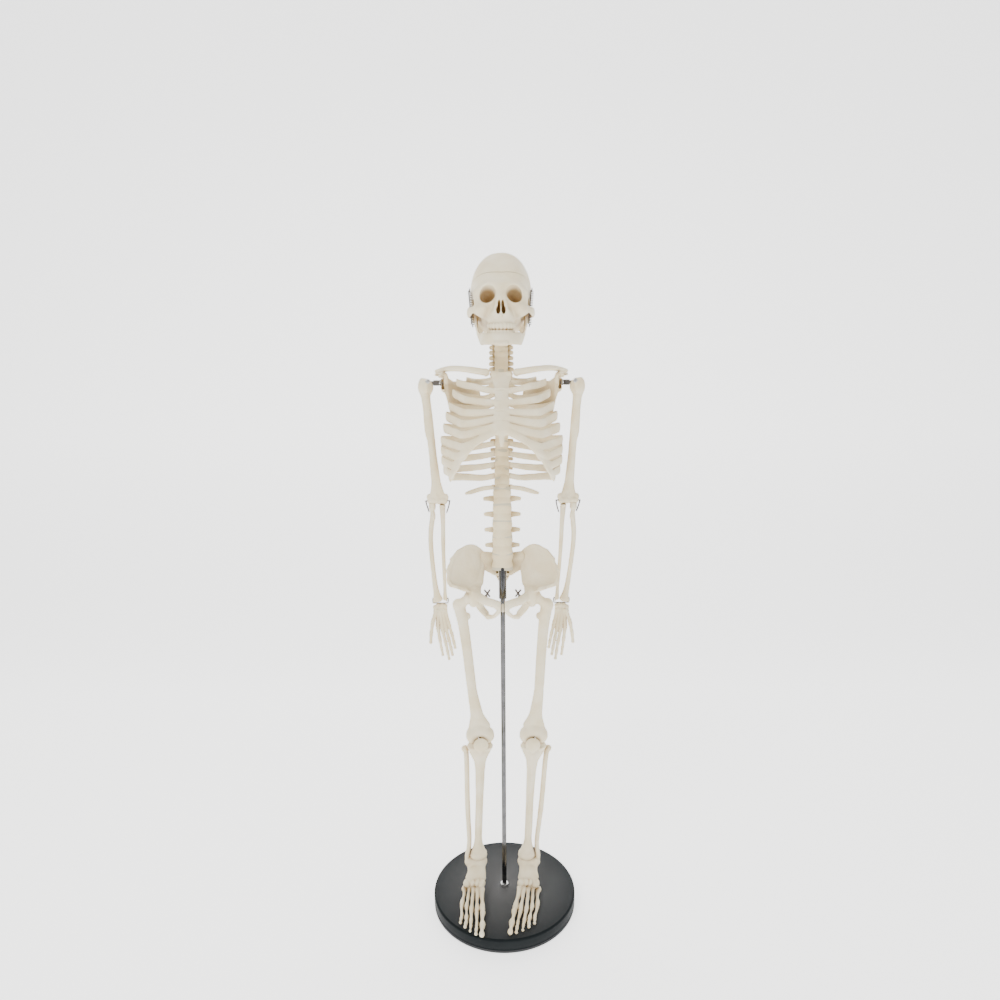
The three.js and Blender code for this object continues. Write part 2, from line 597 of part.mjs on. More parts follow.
// Below the ankle the feet turn a little to one side.
function turnFoot(geometry, side) {
  const centre = new THREE.Vector2(ANKLE[0] * side, ANKLE[1]);
  const place = geometry.attributes.position;
  for (let i = 0; i < place.count; i += 1) {
    const share = THREE.MathUtils.clamp((50 - place.getZ(i)) / 12, 0, 1);
    const spot = new THREE.Vector2(place.getX(i), place.getY(i)).rotateAround(centre, FOOT_TURN * share);
    place.setXY(i, spot.x, spot.y);
  }
  return hangLeg(geometry);
}

function legs() {
  addPair('femur', femur(), 'bone', hangLeg);
  addPair('patella', patella(), 'bone', hangLeg);
  addPair('knee_pin', kneePin(), 'steel', hangLeg);
  addPair('tibia', tibia(), 'bone', hangLeg);
  addPair('fibula', fibula(), 'bone', hangLeg);
  addPair('ankle_pin', anklePin(), 'steel', hangLeg);
  addPair('foot', foot(), 'bone', turnFoot);
}

// ---- Skull

const VAULT = { centre: [0, 8, 808], size: [36, 45.5, SKULL_TOP - 808] };
const vault = (less) => ball(VAULT.centre, VAULT.size.map((half) => half - less), 24);
const EYE = [15, -40, 788];

function shell() {
  return vault(0).subtract(vault(WALL));
}

function skullFace() {
  const both = (make) => [make(1), make(-1)];
  const parts = [
    ball([0, -22, 772], [21, 17, 17], 10),
    ball([0, -24, 796], [29, 14, 9], 10),
    bar([[-15, -22, 760], [0, -38, 760], [15, -22, 760]], [[5, 4], [6.5, 4], [5, 4]], { facing: (p) => [p.x, p.y, 0] }),
    ...both((side) => ball([side * 24, -24, 777], [7, 8, 7])),
    ...both((side) => bar([[side * 27, -26, 777], [side * 37, -12, 780], [side * 37, -2, 782], [side * 32, 8, 784]],
      [[3.4, 2.4], [2.8, 1.8], [2.8, 1.8], [3, 2.4]], { facing: (p) => [p.x, p.y * 0.4, 0] })),
    ...both((side) => ball([side * 27, 13, 773], [5, 6, 8.5])),
  ];
  const holes = [
    ...both((side) => ball([side * EYE[0], EYE[1], EYE[2]], [11, 15, 8.4], 10)),
    ball([0, -42, 776], [4.6, 10, 8]),
  ];
  return join(parts).subtract(join(holes, vault(WALL - 0.5)));
}

function headPieces() {
  const low = block([-60, -80, 700], [60, 80, CAP_CUT - GAP / 2]);
  const high = block([-60, -80, CAP_CUT + GAP / 2], [60, 80, 900]);
  const bottom = [
    pin([0, 15, 750], [0, 15, 785], 6),
    spineRun(NECK, 0.5),
    jawBone(0.5),
  ];
  add('cranium', cut(join(shell(), skullFace()).intersect(low), ...bottom), 'bone');
  add('calvaria', shell().intersect(high), 'bone');
}

const JAW_LINE = [[29, -2, 778], [28.5, -5, 767], [26, -10, 753], [19, -26, 748], [9, -37, 745.5], [0, -40, 745]];

function jawBone(grow = 0) {
  const line = [...JAW_LINE, ...JAW_LINE.slice(0, -1).reverse().map(([x, y, z]) => [-x, y, z])];
  const half = [[4, 2.4], [4.6, 2.4], [6, 2.6], [6, 3], [6.6, 3.2], [7.2, 3.6]].map(([w, d]) => [w + grow, d + grow]);
  return bar(line, [...half, ...half.slice(0, -1).reverse()], { facing: (p) => [p.x, (p.y + 12) * 1.1, 0] });
}

// The springs that hold the jaw shut: from the temple down to the jaw's branch.
const SPRING = { top: [35.6, -13, 806], foot: [32.6, -7, 766] };

function jawSpring() {
  const { top, foot: low } = SPRING;
  return pin([top[0], top[1], top[2]], [low[0], low[1], low[2]], 1.1, 8);
}

function skull() {
  headPieces();
  add('mandible', jawBone(), 'bone');
  addPair('jaw_spring', jawSpring(), 'dark');
}

// ---- Everything in place

stand();
spine();
const cage = ribCage();
add('rib_cage', cage, 'bone');
addPair('floating_rib', cut(lastRib(), cage), 'bone');
shoulders(cage);
arms();
pelvis();
legs();
skull();

export default model;
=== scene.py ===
"""The looks of a half-size human skeleton model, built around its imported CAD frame.

Bones are modelled as clay: signed distance fields that strokes are added to and carved from, turned
into meshes at the end. Shapes are in millimetres and meshes in metres.
"""
import json
import math

import bmesh
import bpy
import numpy as np
import openvdb
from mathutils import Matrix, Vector


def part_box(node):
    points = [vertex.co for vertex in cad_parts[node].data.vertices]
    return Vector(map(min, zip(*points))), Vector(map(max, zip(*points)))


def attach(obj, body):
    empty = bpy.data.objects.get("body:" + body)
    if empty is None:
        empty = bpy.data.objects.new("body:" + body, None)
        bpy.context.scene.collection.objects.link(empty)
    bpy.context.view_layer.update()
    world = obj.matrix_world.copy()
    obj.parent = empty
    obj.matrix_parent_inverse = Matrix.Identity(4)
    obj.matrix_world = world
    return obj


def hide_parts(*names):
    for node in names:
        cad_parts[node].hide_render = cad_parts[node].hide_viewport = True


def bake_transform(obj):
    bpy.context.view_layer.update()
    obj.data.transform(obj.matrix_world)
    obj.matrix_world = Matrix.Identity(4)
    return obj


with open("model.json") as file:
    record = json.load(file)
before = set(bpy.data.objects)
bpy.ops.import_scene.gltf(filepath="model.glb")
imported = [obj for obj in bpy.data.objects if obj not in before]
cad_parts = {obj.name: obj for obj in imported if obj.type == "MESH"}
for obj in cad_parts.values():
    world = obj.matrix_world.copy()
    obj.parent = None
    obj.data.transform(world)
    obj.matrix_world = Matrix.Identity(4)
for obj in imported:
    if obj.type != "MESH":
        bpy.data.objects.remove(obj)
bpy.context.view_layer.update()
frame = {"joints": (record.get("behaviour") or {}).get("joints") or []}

MM = 0.001
SIDES = {"left": 1, "right": -1}
FAR = 12.0
CELL = 0.7
FINE = 0.5
FINEST = 0.4
PIN_BORE = 1.15
UP = (0, 0, 1)
BACK = (0, 1, 0)
SIDE = (1, 0, 0)


# ---- Places taken from the frame, in millimetres

def node_box(node):
    """A CAD node's lowest and highest corners."""
    return [np.array(corner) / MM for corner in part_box(node)]


JOINTS = {joint["name"]: joint for joint in frame["joints"]}


def paired_joint(name):
    """A joint's place on the left if both sides hung straight, and how far both lean towards +X."""
    left = np.array(JOINTS[name + "_left"]["pos_m"]) / MM
    right = np.array(JOINTS[name + "_right"]["pos_m"]) / MM
    straight = left.copy()
    straight[0] = (left[0] - right[0]) / 2
    return straight, (left[0] + right[0]) / 2


SHOULDER, _ = paired_joint("arm_raise")
ELBOW, ELBOW_LEAN = paired_joint("elbow")
WRIST, WRIST_LEAN = paired_joint("wrist")
HIP, _ = paired_joint("hip")
KNEE, KNEE_LEAN = paired_joint("knee")
ANKLE, ANKLE_LEAN = paired_joint("ankle")

ARM_LEVELS = [(350, -1.0), (WRIST[2], WRIST_LEAN), (ELBOW[2], ELBOW_LEAN), (SHOULDER[2], 0)]
LEG_LEVELS = [(ANKLE[2], ANKLE_LEAN), (KNEE[2], KNEE_LEAN), (HIP[2], 0)]
FOOT_TURN = math.radians(-5)
FOOT_TURN_TOP = 50
FOOT_TURN_FADE = 12


def lean(points, levels):
    """Moves each point of a limb sideways by the lean of its level."""
    heights, offsets = zip(*levels)
    points[:, 0] += np.interp(points[:, 2], heights, offsets)
    return points


def lean_arm(points):
    return lean(points, ARM_LEVELS)


def lean_leg(points):
    return lean(points, LEG_LEVELS)


def turn_foot(points):
    """Below the ankle both feet turn a little, to the same side."""
    angle = FOOT_TURN * np.clip((FOOT_TURN_TOP - points[:, 2]) / FOOT_TURN_FADE, 0, 1)
    middle = math.copysign(ANKLE[0], points[:, 0].mean())
    x = points[:, 0] - middle
    y = points[:, 1] - ANKLE[1]
    points[:, 0] = middle + x * np.cos(angle) - y * np.sin(angle)
    points[:, 1] = ANKLE[1] + x * np.sin(angle) + y * np.cos(angle)
    return lean_leg(points)


def stay(points):
    return points


# ---- Clay

def unit(vector):
    return vector / max(np.linalg.norm(vector), 1e-9)


def spline(points, per_span):
    """Catmull-Rom samples through the points, and each sample's place along the list of points."""
    points = np.array(points, float)
    padded = np.vstack([2 * points[0] - points[1], points, 2 * points[-1] - points[-2]])
    places = np.linspace(0, len(points) - 1, (len(points) - 1) * per_span + 1)
    samples = []
    for place in places:
        i = min(int(place), len(points) - 2)
        t = place - i
        a, b, c, d = padded[i:i + 4]
        samples.append(0.5 * (2 * b + (c - a) * t + (2 * a - 5 * b + 4 * c - d) * t * t
                              + (3 * b - a - 3 * c + d) * t ** 3))
    return np.array(samples), places


def pair(value):
    return value if isinstance(value, (tuple, list)) else (value, value)


def smooth_min(a, b, blend):
    if blend <= 0:
        return np.minimum(a, b)
    near = np.maximum(blend - np.abs(a - b), 0) / blend
    return np.minimum(a, b) - near * near * blend / 4


def ellipsoid(x, y, z, rx, ry, rz):
    """The rough distance to an ellipsoid's skin, negative inside."""
    scaled = np.sqrt((x / rx) ** 2 + (y / ry) ** 2 + (z / rz) ** 2 + 1e-8)
    slope = np.sqrt((x / rx ** 2) ** 2 + (y / ry ** 2) ** 2 + (z / rz ** 2) ** 2 + 1e-8)
    return scaled * (scaled - 1) / slope


class Clay:
    """A block of clay between two corners. Each field value is a distance to the skin, up to FAR."""

    def __init__(self, low, high, cell=None):
        self.cell = cell or CELL
        self.low = np.array(low, float) - 3 * self.cell
        count = np.ceil((np.array(high, float) - self.low) / self.cell).astype(int) + 4
        self.field = np.full(count, FAR, np.float32)

    def window(self, low, high):
        """The cells between two corners: their place in the field and their X, Y and Z."""
        first = np.clip(np.floor((low - self.low) / self.cell).astype(int), 0, self.field.shape)
        last = np.clip(np.ceil((high - self.low) / self.cell).astype(int) + 1, 0, self.field.shape)
        keys = tuple(slice(a, b) for a, b in zip(first, last))
        return keys, self.axes(first, last)

    def axes(self, first, last):
        """The X, Y and Z of the cells from first up to last, shaped to combine into a block."""
        x, y, z = [self.low[i] + self.cell * np.arange(first[i], last[i], dtype=np.float32)
                   for i in range(3)]
        return x[:, None, None], y[None, :, None], z[None, None, :]

    def merge(self, keys, part, blend, carve):
        now = self.field[keys]
        self.field[keys] = -smooth_min(-now, part, blend) if carve else smooth_min(now, part, blend)

    def stroke(self, points, sizes, facing=BACK, blend=1.5, carve=False, per_span=5):
        """A bar along a curve. Each size is (half width, half depth); the depth lies along facing."""
        centres, places = spline(points, per_span)
        halves = np.array([pair(size) for size in sizes], float)
        if len(halves) == 1:
            halves = np.repeat(halves, len(points), axis=0)
        halves = np.column_stack([np.interp(places, range(len(halves)), halves[:, i]) for i in (0, 1)])
        pad = FAR / 3 + blend
        low = (centres - halves.max()).min(axis=0) - pad
        high = (centres + halves.max()).max(axis=0) + pad
        keys, _ = self.window(low, high)
        start = np.array([key.start for key in keys])
        part = np.full(self.field[keys].shape, FAR, np.float32)
        for i in range(len(centres) - 1):
            a, b = centres[i], centres[i + 1]
            reach = halves[i:i + 2].max() + pad
            near, grid = self.window(np.minimum(a, b) - reach, np.maximum(a, b) + reach)
            local = tuple(slice(max(key.start - s, 0), min(key.stop - s, n))
                          for key, s, n in zip(near, start, part.shape))
            trim = tuple(slice(l.start - (key.start - s), l.stop - (key.start - s))
                         for l, key, s in zip(local, near, start))
            x, y, z = grid[0][trim[0]], grid[1][:, trim[1]], grid[2][:, :, trim[2]]
            front = np.array(facing((a + b) / 2) if callable(facing) else facing, float)
            distance = bar_distance((x, y, z), a, b, front, halves[i], halves[i + 1])
            part[local] = np.minimum(part[local], distance)
        self.merge(keys, part, blend, carve)

    def egg(self, centre, radii, blend=1.5, carve=False):
        """An ellipsoid. One number for the radii makes a ball."""
        centre = np.array(centre, float)
        radii = np.array(radii if isinstance(radii, (tuple, list)) else (radii,) * 3, float)
        reach = radii.max() + FAR / 3 + blend
        keys, (x, y, z) = self.window(centre - reach, centre + reach)
        x, y, z = x - centre[0], y - centre[1], z - centre[2]
        self.merge(keys, ellipsoid(x, y, z, *radii), blend, carve)

    def both(self, tool, places, *sizes, about=0, **words):
        """Uses a tool twice: its places and their mirror image about a value of X."""
        for side in (1, -1):
            if np.ndim(places) == 1:
                flipped = [about + places[0] * side, *places[1:]]
            else:
                flipped = [[about + x * side, y, z] for x, y, z in places]
            tool(flipped, *sizes, **words)

    def keep(self, axis, level, above):
        """Cuts the clay with a flat plane."""
        line = self.axes((0, 0, 0), self.field.shape)[axis] - level
        plane = -line if above else line
        self.field = np.maximum(self.field, plane).astype(np.float32)

    def roughen(self, amount, scale, seed):
        """Moves the skin by a soft random amount, so that no face is perfectly even."""
        rng = np.random.default_rng(seed)
        waves = rng.normal(size=(5, 3)) / scale
        phases = rng.uniform(0, 2 * math.pi, 5)
        x, y, z = self.axes((0, 0, 0), self.field.shape)
        total = sum(np.sin(w[0] * x + w[1] * y + w[2] * z + p) for w, p in zip(waves, phases))
        self.field += amount / 3 * total

    def skin(self):
        """The vertices, in millimetres, and the faces of the clay's skin."""
        field = self.field.copy()
        for axis in range(3):
            edge = [slice(None)] * 3
            for end in (0, -1):
                edge[axis] = end
                field[tuple(edge)] = np.maximum(field[tuple(edge)], 1)
        grid = openvdb.FloatGrid(FAR)
        grid.copyFromArray(np.clip(field, -FAR, FAR))
        points, quads = grid.convertToQuads(0.0)
        points = self.low + points * self.cell
        a, b, c = points[quads[:, 0]], points[quads[:, 1]], points[quads[:, 2]]
        if np.einsum("ij,ij->i", a, np.cross(b, c)).sum() < 0:
            quads = quads[:, ::-1]
        return points, quads


def bar_distance(grid, a, b, front, size_a, size_b):
    length = max(np.linalg.norm(b - a), 1e-6)
    along = (b - a) / length
    across = unit(np.cross(along, front))
    through = np.cross(across, along)
    x, y, z = grid[0] - a[0], grid[1] - a[1], grid[2] - a[2]
    run = x * along[0] + y * along[1] + z * along[2]
    t = np.clip(run / length, 0, 1)
    wide = size_a[0] + (size_b[0] - size_a[0]) * t
    deep = size_a[1] + (size_b[1] - size_a[1]) * t
    round_end = np.minimum(wide, deep)
    q_across = x * across[0] + y * across[1] + z * across[2]
    q_through = x * through[0] + y * through[1] + z * through[2]
    return ellipsoid(q_across, q_through, run - t * length, wide, deep, round_end)


def block(node, below, above, cell=None):
    """Clay around a CAD node, with some room to spare."""
    low, high = node_box(node)
    return Clay(low - below, high + above, cell)


def bore(clay, joint, reach, radius=PIN_BORE):
    """A hole from side to side through a joint."""
    x, y, z = joint
    clay.stroke([(x - reach, y, z), (x + reach, y, z)], [radius], BACK, 0, carve=True)


# ---- Pieces

def mesh_piece(name, points, faces, material):
    """A smooth-shaded mesh object. Points are in millimetres."""
    mesh = bpy.data.meshes.new(name)
    mesh.from_pydata((np.asarray(points) * MM).tolist(), [], [list(face) for face in faces])
    mesh.polygons.foreach_set("use_smooth", [True] * len(mesh.polygons))
    mesh.materials.append(material)
    piece = bpy.data.objects.new(name, mesh)
    bpy.context.scene.collection.objects.link(piece)
    return piece


def place(piece, body, slot, *nodes):
    if body:
        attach(piece, body)
    if nodes:
        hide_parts(*nodes)
    return piece


def clay_piece(name, clay, body, slot, *nodes):
    points, quads = clay.skin()
    return place(mesh_piece(name, points, quads, MATERIALS[slot]), body, slot, *nodes)


def pair_up(name, points, faces, body, slot, settle, nodes):
    """The same shape on both sides. settle moves the points of each side after mirroring."""
    pieces = []
    for side_name, side in SIDES.items():
        moved = settle(points * (side, 1, 1))
        turned_faces = faces if side > 0 else [face[::-1] for face in faces]
        piece = mesh_piece(f"{name}_{side_name}", moved, turned_faces, MATERIALS[slot])
        owner = body if body == "torso" else f"{body}_{side_name}"
        pieces.append(place(piece, owner, slot, *[f"{node}_{side_name}" for node in nodes]))
    return pieces


def clay_pair(name, clay, body, slot, settle, *nodes):
    points, quads = clay.skin()
    pair_up(name, points, quads.tolist(), body, slot, settle, nodes)


def metal_pair(name, parts, slot, body, settle, *nodes):
    points, faces = joined(parts)
    for piece in pair_up(name, points, faces, body, slot, settle, nodes):
        tidy_mesh(piece)


def row_faces(rows, sides, loop):
    """Faces between rings of points. A loop also joins the last ring to the first."""
    faces = []
    for i in range(rows if loop else rows - 1):
        j = (i + 1) % rows
        for k in range(sides):
            n = (k + 1) % sides
            faces.append([i * sides + k, i * sides + n, j * sides + n, j * sides + k])
    return faces


def turned(profile, centre=(0, 0, 0), axis=UP, sides=48):
    """A turned part: its closed profile spun about an axis. Each profile point is (radius, height),
    and a radius may be a list that holds one value for each side."""
    axis = unit(np.array(axis, float))
    across = unit(np.cross(axis, (0.3, 0.9, 0.2)))
    other = np.cross(axis, across)
    angles = np.linspace(0, 2 * math.pi, sides, endpoint=False)
    ring = np.outer(np.cos(angles), across) + np.outer(np.sin(angles), other)
    rows = []
    for radius, height in profile:
        reach = np.broadcast_to(radius, sides)[:, None]
        rows.append(np.array(centre, float) + height * axis + reach * ring)
    return np.vstack(rows), row_faces(len(rows), sides, True)


def tidy_mesh(piece):
    edit = bmesh.new()
    edit.from_mesh(piece.data)
    bmesh.ops.remove_doubles(edit, verts=edit.verts, dist=0.005 * MM)
    bmesh.ops.delete(edit, geom=[edge for edge in edit.edges if not edge.link_faces], context="EDGES")
    bmesh.ops.recalc_face_normals(edit, faces=edit.faces)
    edit.to_mesh(piece.data)
    edit.free()
    piece.data.set_sharp_from_angle(angle=math.radians(35))


def tube(points, radius, sides=12, per_span=8):
    """A round wire along a curve, with closed ends: its points and faces."""
    centres, _ = spline(points, per_span)
    tangents = np.gradient(centres, axis=0)
    across = unit(np.cross(tangents[0], (0.2, 0.7, 0.4)))
    angles = np.linspace(0, 2 * math.pi, sides, endpoint=False)
    rows = []
    for centre, tangent in zip(centres, tangents):
        along = unit(tangent)
        across = unit(across - along * np.dot(across, along))
        other = np.cross(along, across)
        rows.append(centre + radius * (np.outer(np.cos(angles), across) + np.outer(np.sin(angles), other)))
    faces = row_faces(len(rows), sides, False)
    last = (len(rows) - 1) * sides
    faces.append(list(range(sides))[::-1])
    faces.append([last + k for k in range(sides)])
    return np.vstack(rows), faces


def joined(parts):
    """Several (points, faces) shapes as one."""
    points = []
    faces = []
    for part_points, part_faces in parts:
        first = sum(len(p) for p in points)
        points.append(np.asarray(part_points))
        faces += [[int(v) + first for v in face] for face in part_faces]
    return np.vstack(points), faces


def metal_piece(name, parts, slot, body, *nodes):
    points, faces = joined(parts)
    piece = mesh_piece(name, points, faces, MATERIALS[slot])
    tidy_mesh(piece)
    return place(piece, body, slot, *nodes)


# ---- Materials

def new_material(name):
    material = bpy.data.materials.new(name)
    material.use_nodes = True
    nodes = material.node_tree.nodes
    return material, nodes, material.node_tree.links, nodes["Principled BSDF"]


def noise(nodes, links, scale, detail, source):
    node = nodes.new("ShaderNodeTexNoise")
    node.inputs["Scale"].default_value = scale
    node.inputs["Detail"].default_value = detail
    links.new(source, node.inputs["Vector"])
    return node.outputs["Fac"]


def ramp(nodes, links, source, stops):
    node = nodes.new("ShaderNodeValToRGB")
    elements = node.color_ramp.elements
    while len(elements) < len(stops):
        elements.new(0.5)
    for element, (position, colour) in zip(elements, stops):
        element.position = position
        element.color = (*colour, 1)
    links.new(source, node.inputs["Fac"])
    return node.outputs["Color"]


def mix(nodes, links, factor, first, second, kind="MIX"):
    node = nodes.new("ShaderNodeMix")
    node.data_type = "RGBA"
    node.blend_type = kind
    for socket, value in ((node.inputs["Factor"], factor), (node.inputs[6], first), (node.inputs[7], second)):
        if isinstance(value, bpy.types.NodeSocket):
            links.new(value, socket)
        else:
            socket.default_value = value if isinstance(value, float) else (*value, 1)
    return node.outputs[2]


def span(nodes, links, source, low, high):
    """Maps 0..1 to a range of numbers."""
    node = nodes.new("ShaderNodeMapRange")
    node.inputs["To Min"].default_value = low
    node.inputs["To Max"].default_value = high
    links.new(source, node.inputs["Value"])
    return node.outputs["Result"]


def bump(nodes, links, height, strength, distance, below=None):
    node = nodes.new("ShaderNodeBump")
    node.inputs["Strength"].default_value = strength
    node.inputs["Distance"].default_value = distance
    links.new(height, node.inputs["Height"])
    if below:
        links.new(below, node.inputs["Normal"])
    return node.outputs["Normal"]


def bone_material(name, light, warm, speck_and_shade):
    """Moulded ivory plastic: warmer blotches, ochre specks, a faint grain, and painted ochre shade in the
    hollows and where parts lie close.
    """
    material, nodes, links, shader = new_material(name)
    where = nodes.new("ShaderNodeTexCoord").outputs["Object"]
    blotch = ramp(nodes, links, noise(nodes, links, 38, 3, where), [(0.38, (0, 0, 0)), (0.68, (1, 1, 1))])
    base = mix(nodes, links, blotch, light, warm)
    speck = ramp(nodes, links, noise(nodes, links, 900, 2, where),
                 [(0.66, (0, 0, 0)), (0.78, (0.35, 0.35, 0.35))])
    base = mix(nodes, links, speck, base, speck_and_shade)
    # Painted shade: an ambient occlusion node darkens the colour to ochre in hollows and where parts lie
    # close together.
    shade_occlusion = nodes.new("ShaderNodeAmbientOcclusion")
    shade_occlusion.samples = 6
    shade_occlusion.inputs["Distance"].default_value = 16 * MM
    painted_shade = ramp(nodes, links, shade_occlusion.outputs["AO"],
                [(0.18, (1, 1, 1)), (0.62, (0.28, 0.28, 0.28)), (0.95, (0, 0, 0))])
    links.new(mix(nodes, links, painted_shade, base, speck_and_shade), shader.inputs["Base Color"])
    links.new(span(nodes, links, blotch, 0.42, 0.56), shader.inputs["Roughness"])
    grain = bump(nodes, links, noise(nodes, links, 1500, 3, where), 0.12, 0.15 * MM)
    swell = bump(nodes, links, noise(nodes, links, 160, 4, where), 0.22, 0.6 * MM, grain)
    links.new(swell, shader.inputs["Normal"])
    shader.inputs["Subsurface Weight"].default_value = 0.12
    shader.inputs["Subsurface Radius"].default_value = (1.0, 0.7, 0.4)
    shader.inputs["Subsurface Scale"].default_value = 1.2 * MM
    shader.inputs["Specular IOR Level"].default_value = 0.42
    return material


def metal_material(name, colour, rough, scale, dirt):
    """Bare metal with fine drawing marks and a little tarnish."""
    material, nodes, links, shader = new_material(name)
    where = nodes.new("ShaderNodeTexCoord").outputs["Object"]
    stretch = nodes.new("ShaderNodeMapping")
    stretch.inputs["Scale"].default_value = (1, 1, 0.06)
    links.new(where, stretch.inputs["Vector"])
    marks = noise(nodes, links, scale, 2, stretch.outputs["Vector"])
    tarnish = ramp(nodes, links, noise(nodes, links, 120, 4, where), [(0.45, (0, 0, 0)), (0.8, (1, 1, 1))])
    darker = [channel * dirt for channel in colour]
    links.new(mix(nodes, links, tarnish, colour, darker), shader.inputs["Base Color"])
    links.new(span(nodes, links, marks, rough * 0.7, rough * 1.5), shader.inputs["Roughness"])
    links.new(bump(nodes, links, marks, 0.08, 0.05 * MM), shader.inputs["Normal"])
    shader.inputs["Metallic"].default_value = 1.0
    return material


def foot_material():
    """Charcoal moulding with a fine pebbled texture, and a painted highlight that makes the rim's edges
    paler.
    """
    material, nodes, links, shader = new_material("black")
    where = nodes.new("ShaderNodeTexCoord").outputs["Object"]
    pebble = noise(nodes, links, 1300, 3, where)
    dust = ramp(nodes, links, noise(nodes, links, 22, 5, where), [(0.4, (0, 0, 0)), (0.75, (0.6, 0.6, 0.6))])
    base = mix(nodes, links, dust, (0.005, 0.0075, 0.0085), (0.012, 0.0155, 0.0165))
    shader.inputs["Specular IOR Level"].default_value = 0.06
    # Painted highlight: a pale grey on the rim's convex edges.
    links.new(mix(nodes, links, painted_edge_highlight(nodes, links), base, (0.11, 0.11, 0.112)),
              shader.inputs["Base Color"])
    links.new(span(nodes, links, pebble, 0.38, 0.6), shader.inputs["Roughness"])
    links.new(bump(nodes, links, pebble, 0.35, 0.25 * MM), shader.inputs["Normal"])
    return material


def painted_edge_highlight(nodes, links):
    """Painted highlight: white on convex edges."""
    geometry = nodes.new("ShaderNodeNewGeometry")
    return ramp(nodes, links, geometry.outputs["Pointiness"], [(0.52, (0, 0, 0)), (0.6, (1, 1, 1))])


def disc_material():
    """Soft grey-cream cartilage."""
    material, nodes, links, shader = new_material("disc")
    where = nodes.new("ShaderNodeTexCoord").outputs["Object"]
    tone = noise(nodes, links, 90, 3, where)
    links.new(mix(nodes, links, tone, (0.5, 0.44, 0.3), (0.62, 0.57, 0.44)), shader.inputs["Base Color"])
    links.new(span(nodes, links, tone, 0.5, 0.66), shader.inputs["Roughness"])
    links.new(bump(nodes, links, noise(nodes, links, 700, 2, where), 0.2, 0.2 * MM), shader.inputs["Normal"])
    return material


MATERIALS = {
    # The third colour of each bone material is for the ochre specks and for the painted shade in hollows.
    "bone": bone_material("bone", (0.83, 0.745, 0.545), (0.76, 0.65, 0.425), (0.37, 0.225, 0.08)),
    "spine": bone_material("spine", (0.80, 0.69, 0.455), (0.73, 0.60, 0.36), (0.34, 0.21, 0.075)),
    "disc": disc_material(),
    # The chrome's colour is kept very dark as a painted dark reflection, in place of dark surroundings for it
    # to reflect.
    "chrome": metal_material("chrome", (0.12, 0.12, 0.122), 0.12, 900, 0.6),
    "steel": metal_material("steel", (0.62, 0.62, 0.61), 0.28, 1600, 0.7),
    "dark": metal_material("dark", (0.16, 0.145, 0.13), 0.38, 1600, 0.5),
    "black": foot_material(),
}


# ---- Skull

CAP_GAP = 0.3
CAP_CUT = node_box("calvaria")[0][2] - CAP_GAP / 2
SKULL_TOP = node_box("calvaria")[1][2]
VAULT_CENTRE = np.array([0, 8, SKULL_TOP - 42])
WALL = 3.2
# The sloping floor of the brain's cavity: two depths, the heights there, and about the cosine of its slope.
CAVITY_FLOOR = (-12, 14), (803, 779)
CAVITY_SLOPE = 0.72


def from_face(radial_centre):
    """A facing function: outwards from a vertical axis."""
    cx, cy = radial_centre
    return lambda p: (p[0] - cx, p[1] - cy, 0)


def braincase(clay):
    x, y, z = VAULT_CENTRE
    clay.egg((x, y + 5, z - 1.4), (33.5, 39.4, 42.6), 0)
    clay.both(clay.egg, (8, y + 5, z - 2.4), (27.8, 38.6, 40.6), 5)
    clay.both(clay.egg, (9, y - 16, z - 9), (22.5, 29.4, 33), 8)
    clay.both(clay.egg, (41.5, -22, 793), (7, 14, 13), 4, carve=True)


def face_bones(clay):
    clay.egg((0, -20, 788), (28.5, 15.5, 14), 3)
    clay.egg((0, -23.5, 770), (15.6, 15.5, 13.5), 3)
    clay.egg((0, -24, 760), (13.8, 14.5, 7), 2)
    clay.both(clay.egg, (20, -24, 779), (9, 9.5, 7.5), 3)
    clay.stroke([(-27.5, -24, 796), (-15, -34.4, 800.5), (0, -36.4, 799), (15, -34.4, 800.5),
                 (27.5, -24, 796)],
                [(2.6, 2.4), (2.8, 2.6), (2.8, 2.6), (2.8, 2.6), (2.6, 2.4)], blend=4)
    clay.both(clay.stroke, [(27.6, -24, 797), (28, -23.5, 789), (26, -26, 780)], [(2.6, 2.4), 2.2, (3.2, 3)],
              blend=3)
    clay.both(clay.stroke, [(25, -25, 779), (33, -17, 780.5), (37.4, -8.6, 781.6), (37, -1, 782.6),
                            (33.6, 7, 784)],
              [(5, 2.6), (4.6, 2.2), (4.9, 1.8), (3.8, 1.6), (3.4, 2)], from_face((0, -8)), 2.5)
    clay.stroke([(0, -34, 799), (0, -36.4, 792), (0, -38.8, 784), (0, -37.4, 774)],
                [(7, 3.4), (5.6, 3.6), (6, 2.8), (8, 3)], blend=5)
    clay.stroke([(0, -38.2, 769), (0, -39.6, 768)], [1.3], blend=1.5)


TEETH = 15
BITE_FRONT = -39
BITE_SLOPE = 0.32


def bite_rise(y):
    """How much higher the bite is at a depth than at its front."""
    return (y - BITE_FRONT) * BITE_SLOPE


def tooth_row(clay, arch, height, up):
    """Crowns along an arch of points, larger at the back, softly run together."""
    centres, _ = spline(arch, 12)
    for i, step in enumerate(np.linspace(0, len(centres) - 1, TEETH)):
        x, y, _ = centres[int(round(step))]
        middle = TEETH // 2
        back = abs(i - middle) / middle
        level = height + up * 0.4 + bite_rise(y)
        clay.egg((x, y, level), (2.4, 1.6 + 1.2 * back, 3.4 - 0.7 * back), 0.9)


UPPER_ARCH = [(-14, -18, 0), (-13.4, -27, 0), (-9, -35.6, 0), (0, -38.8, 0), (9, -35.6, 0), (13.4, -27, 0),
              (14, -18, 0)]
LOWER_ARCH = [(x * 0.95, y * 0.98 + 0.3, z) for x, y, z in UPPER_ARCH]


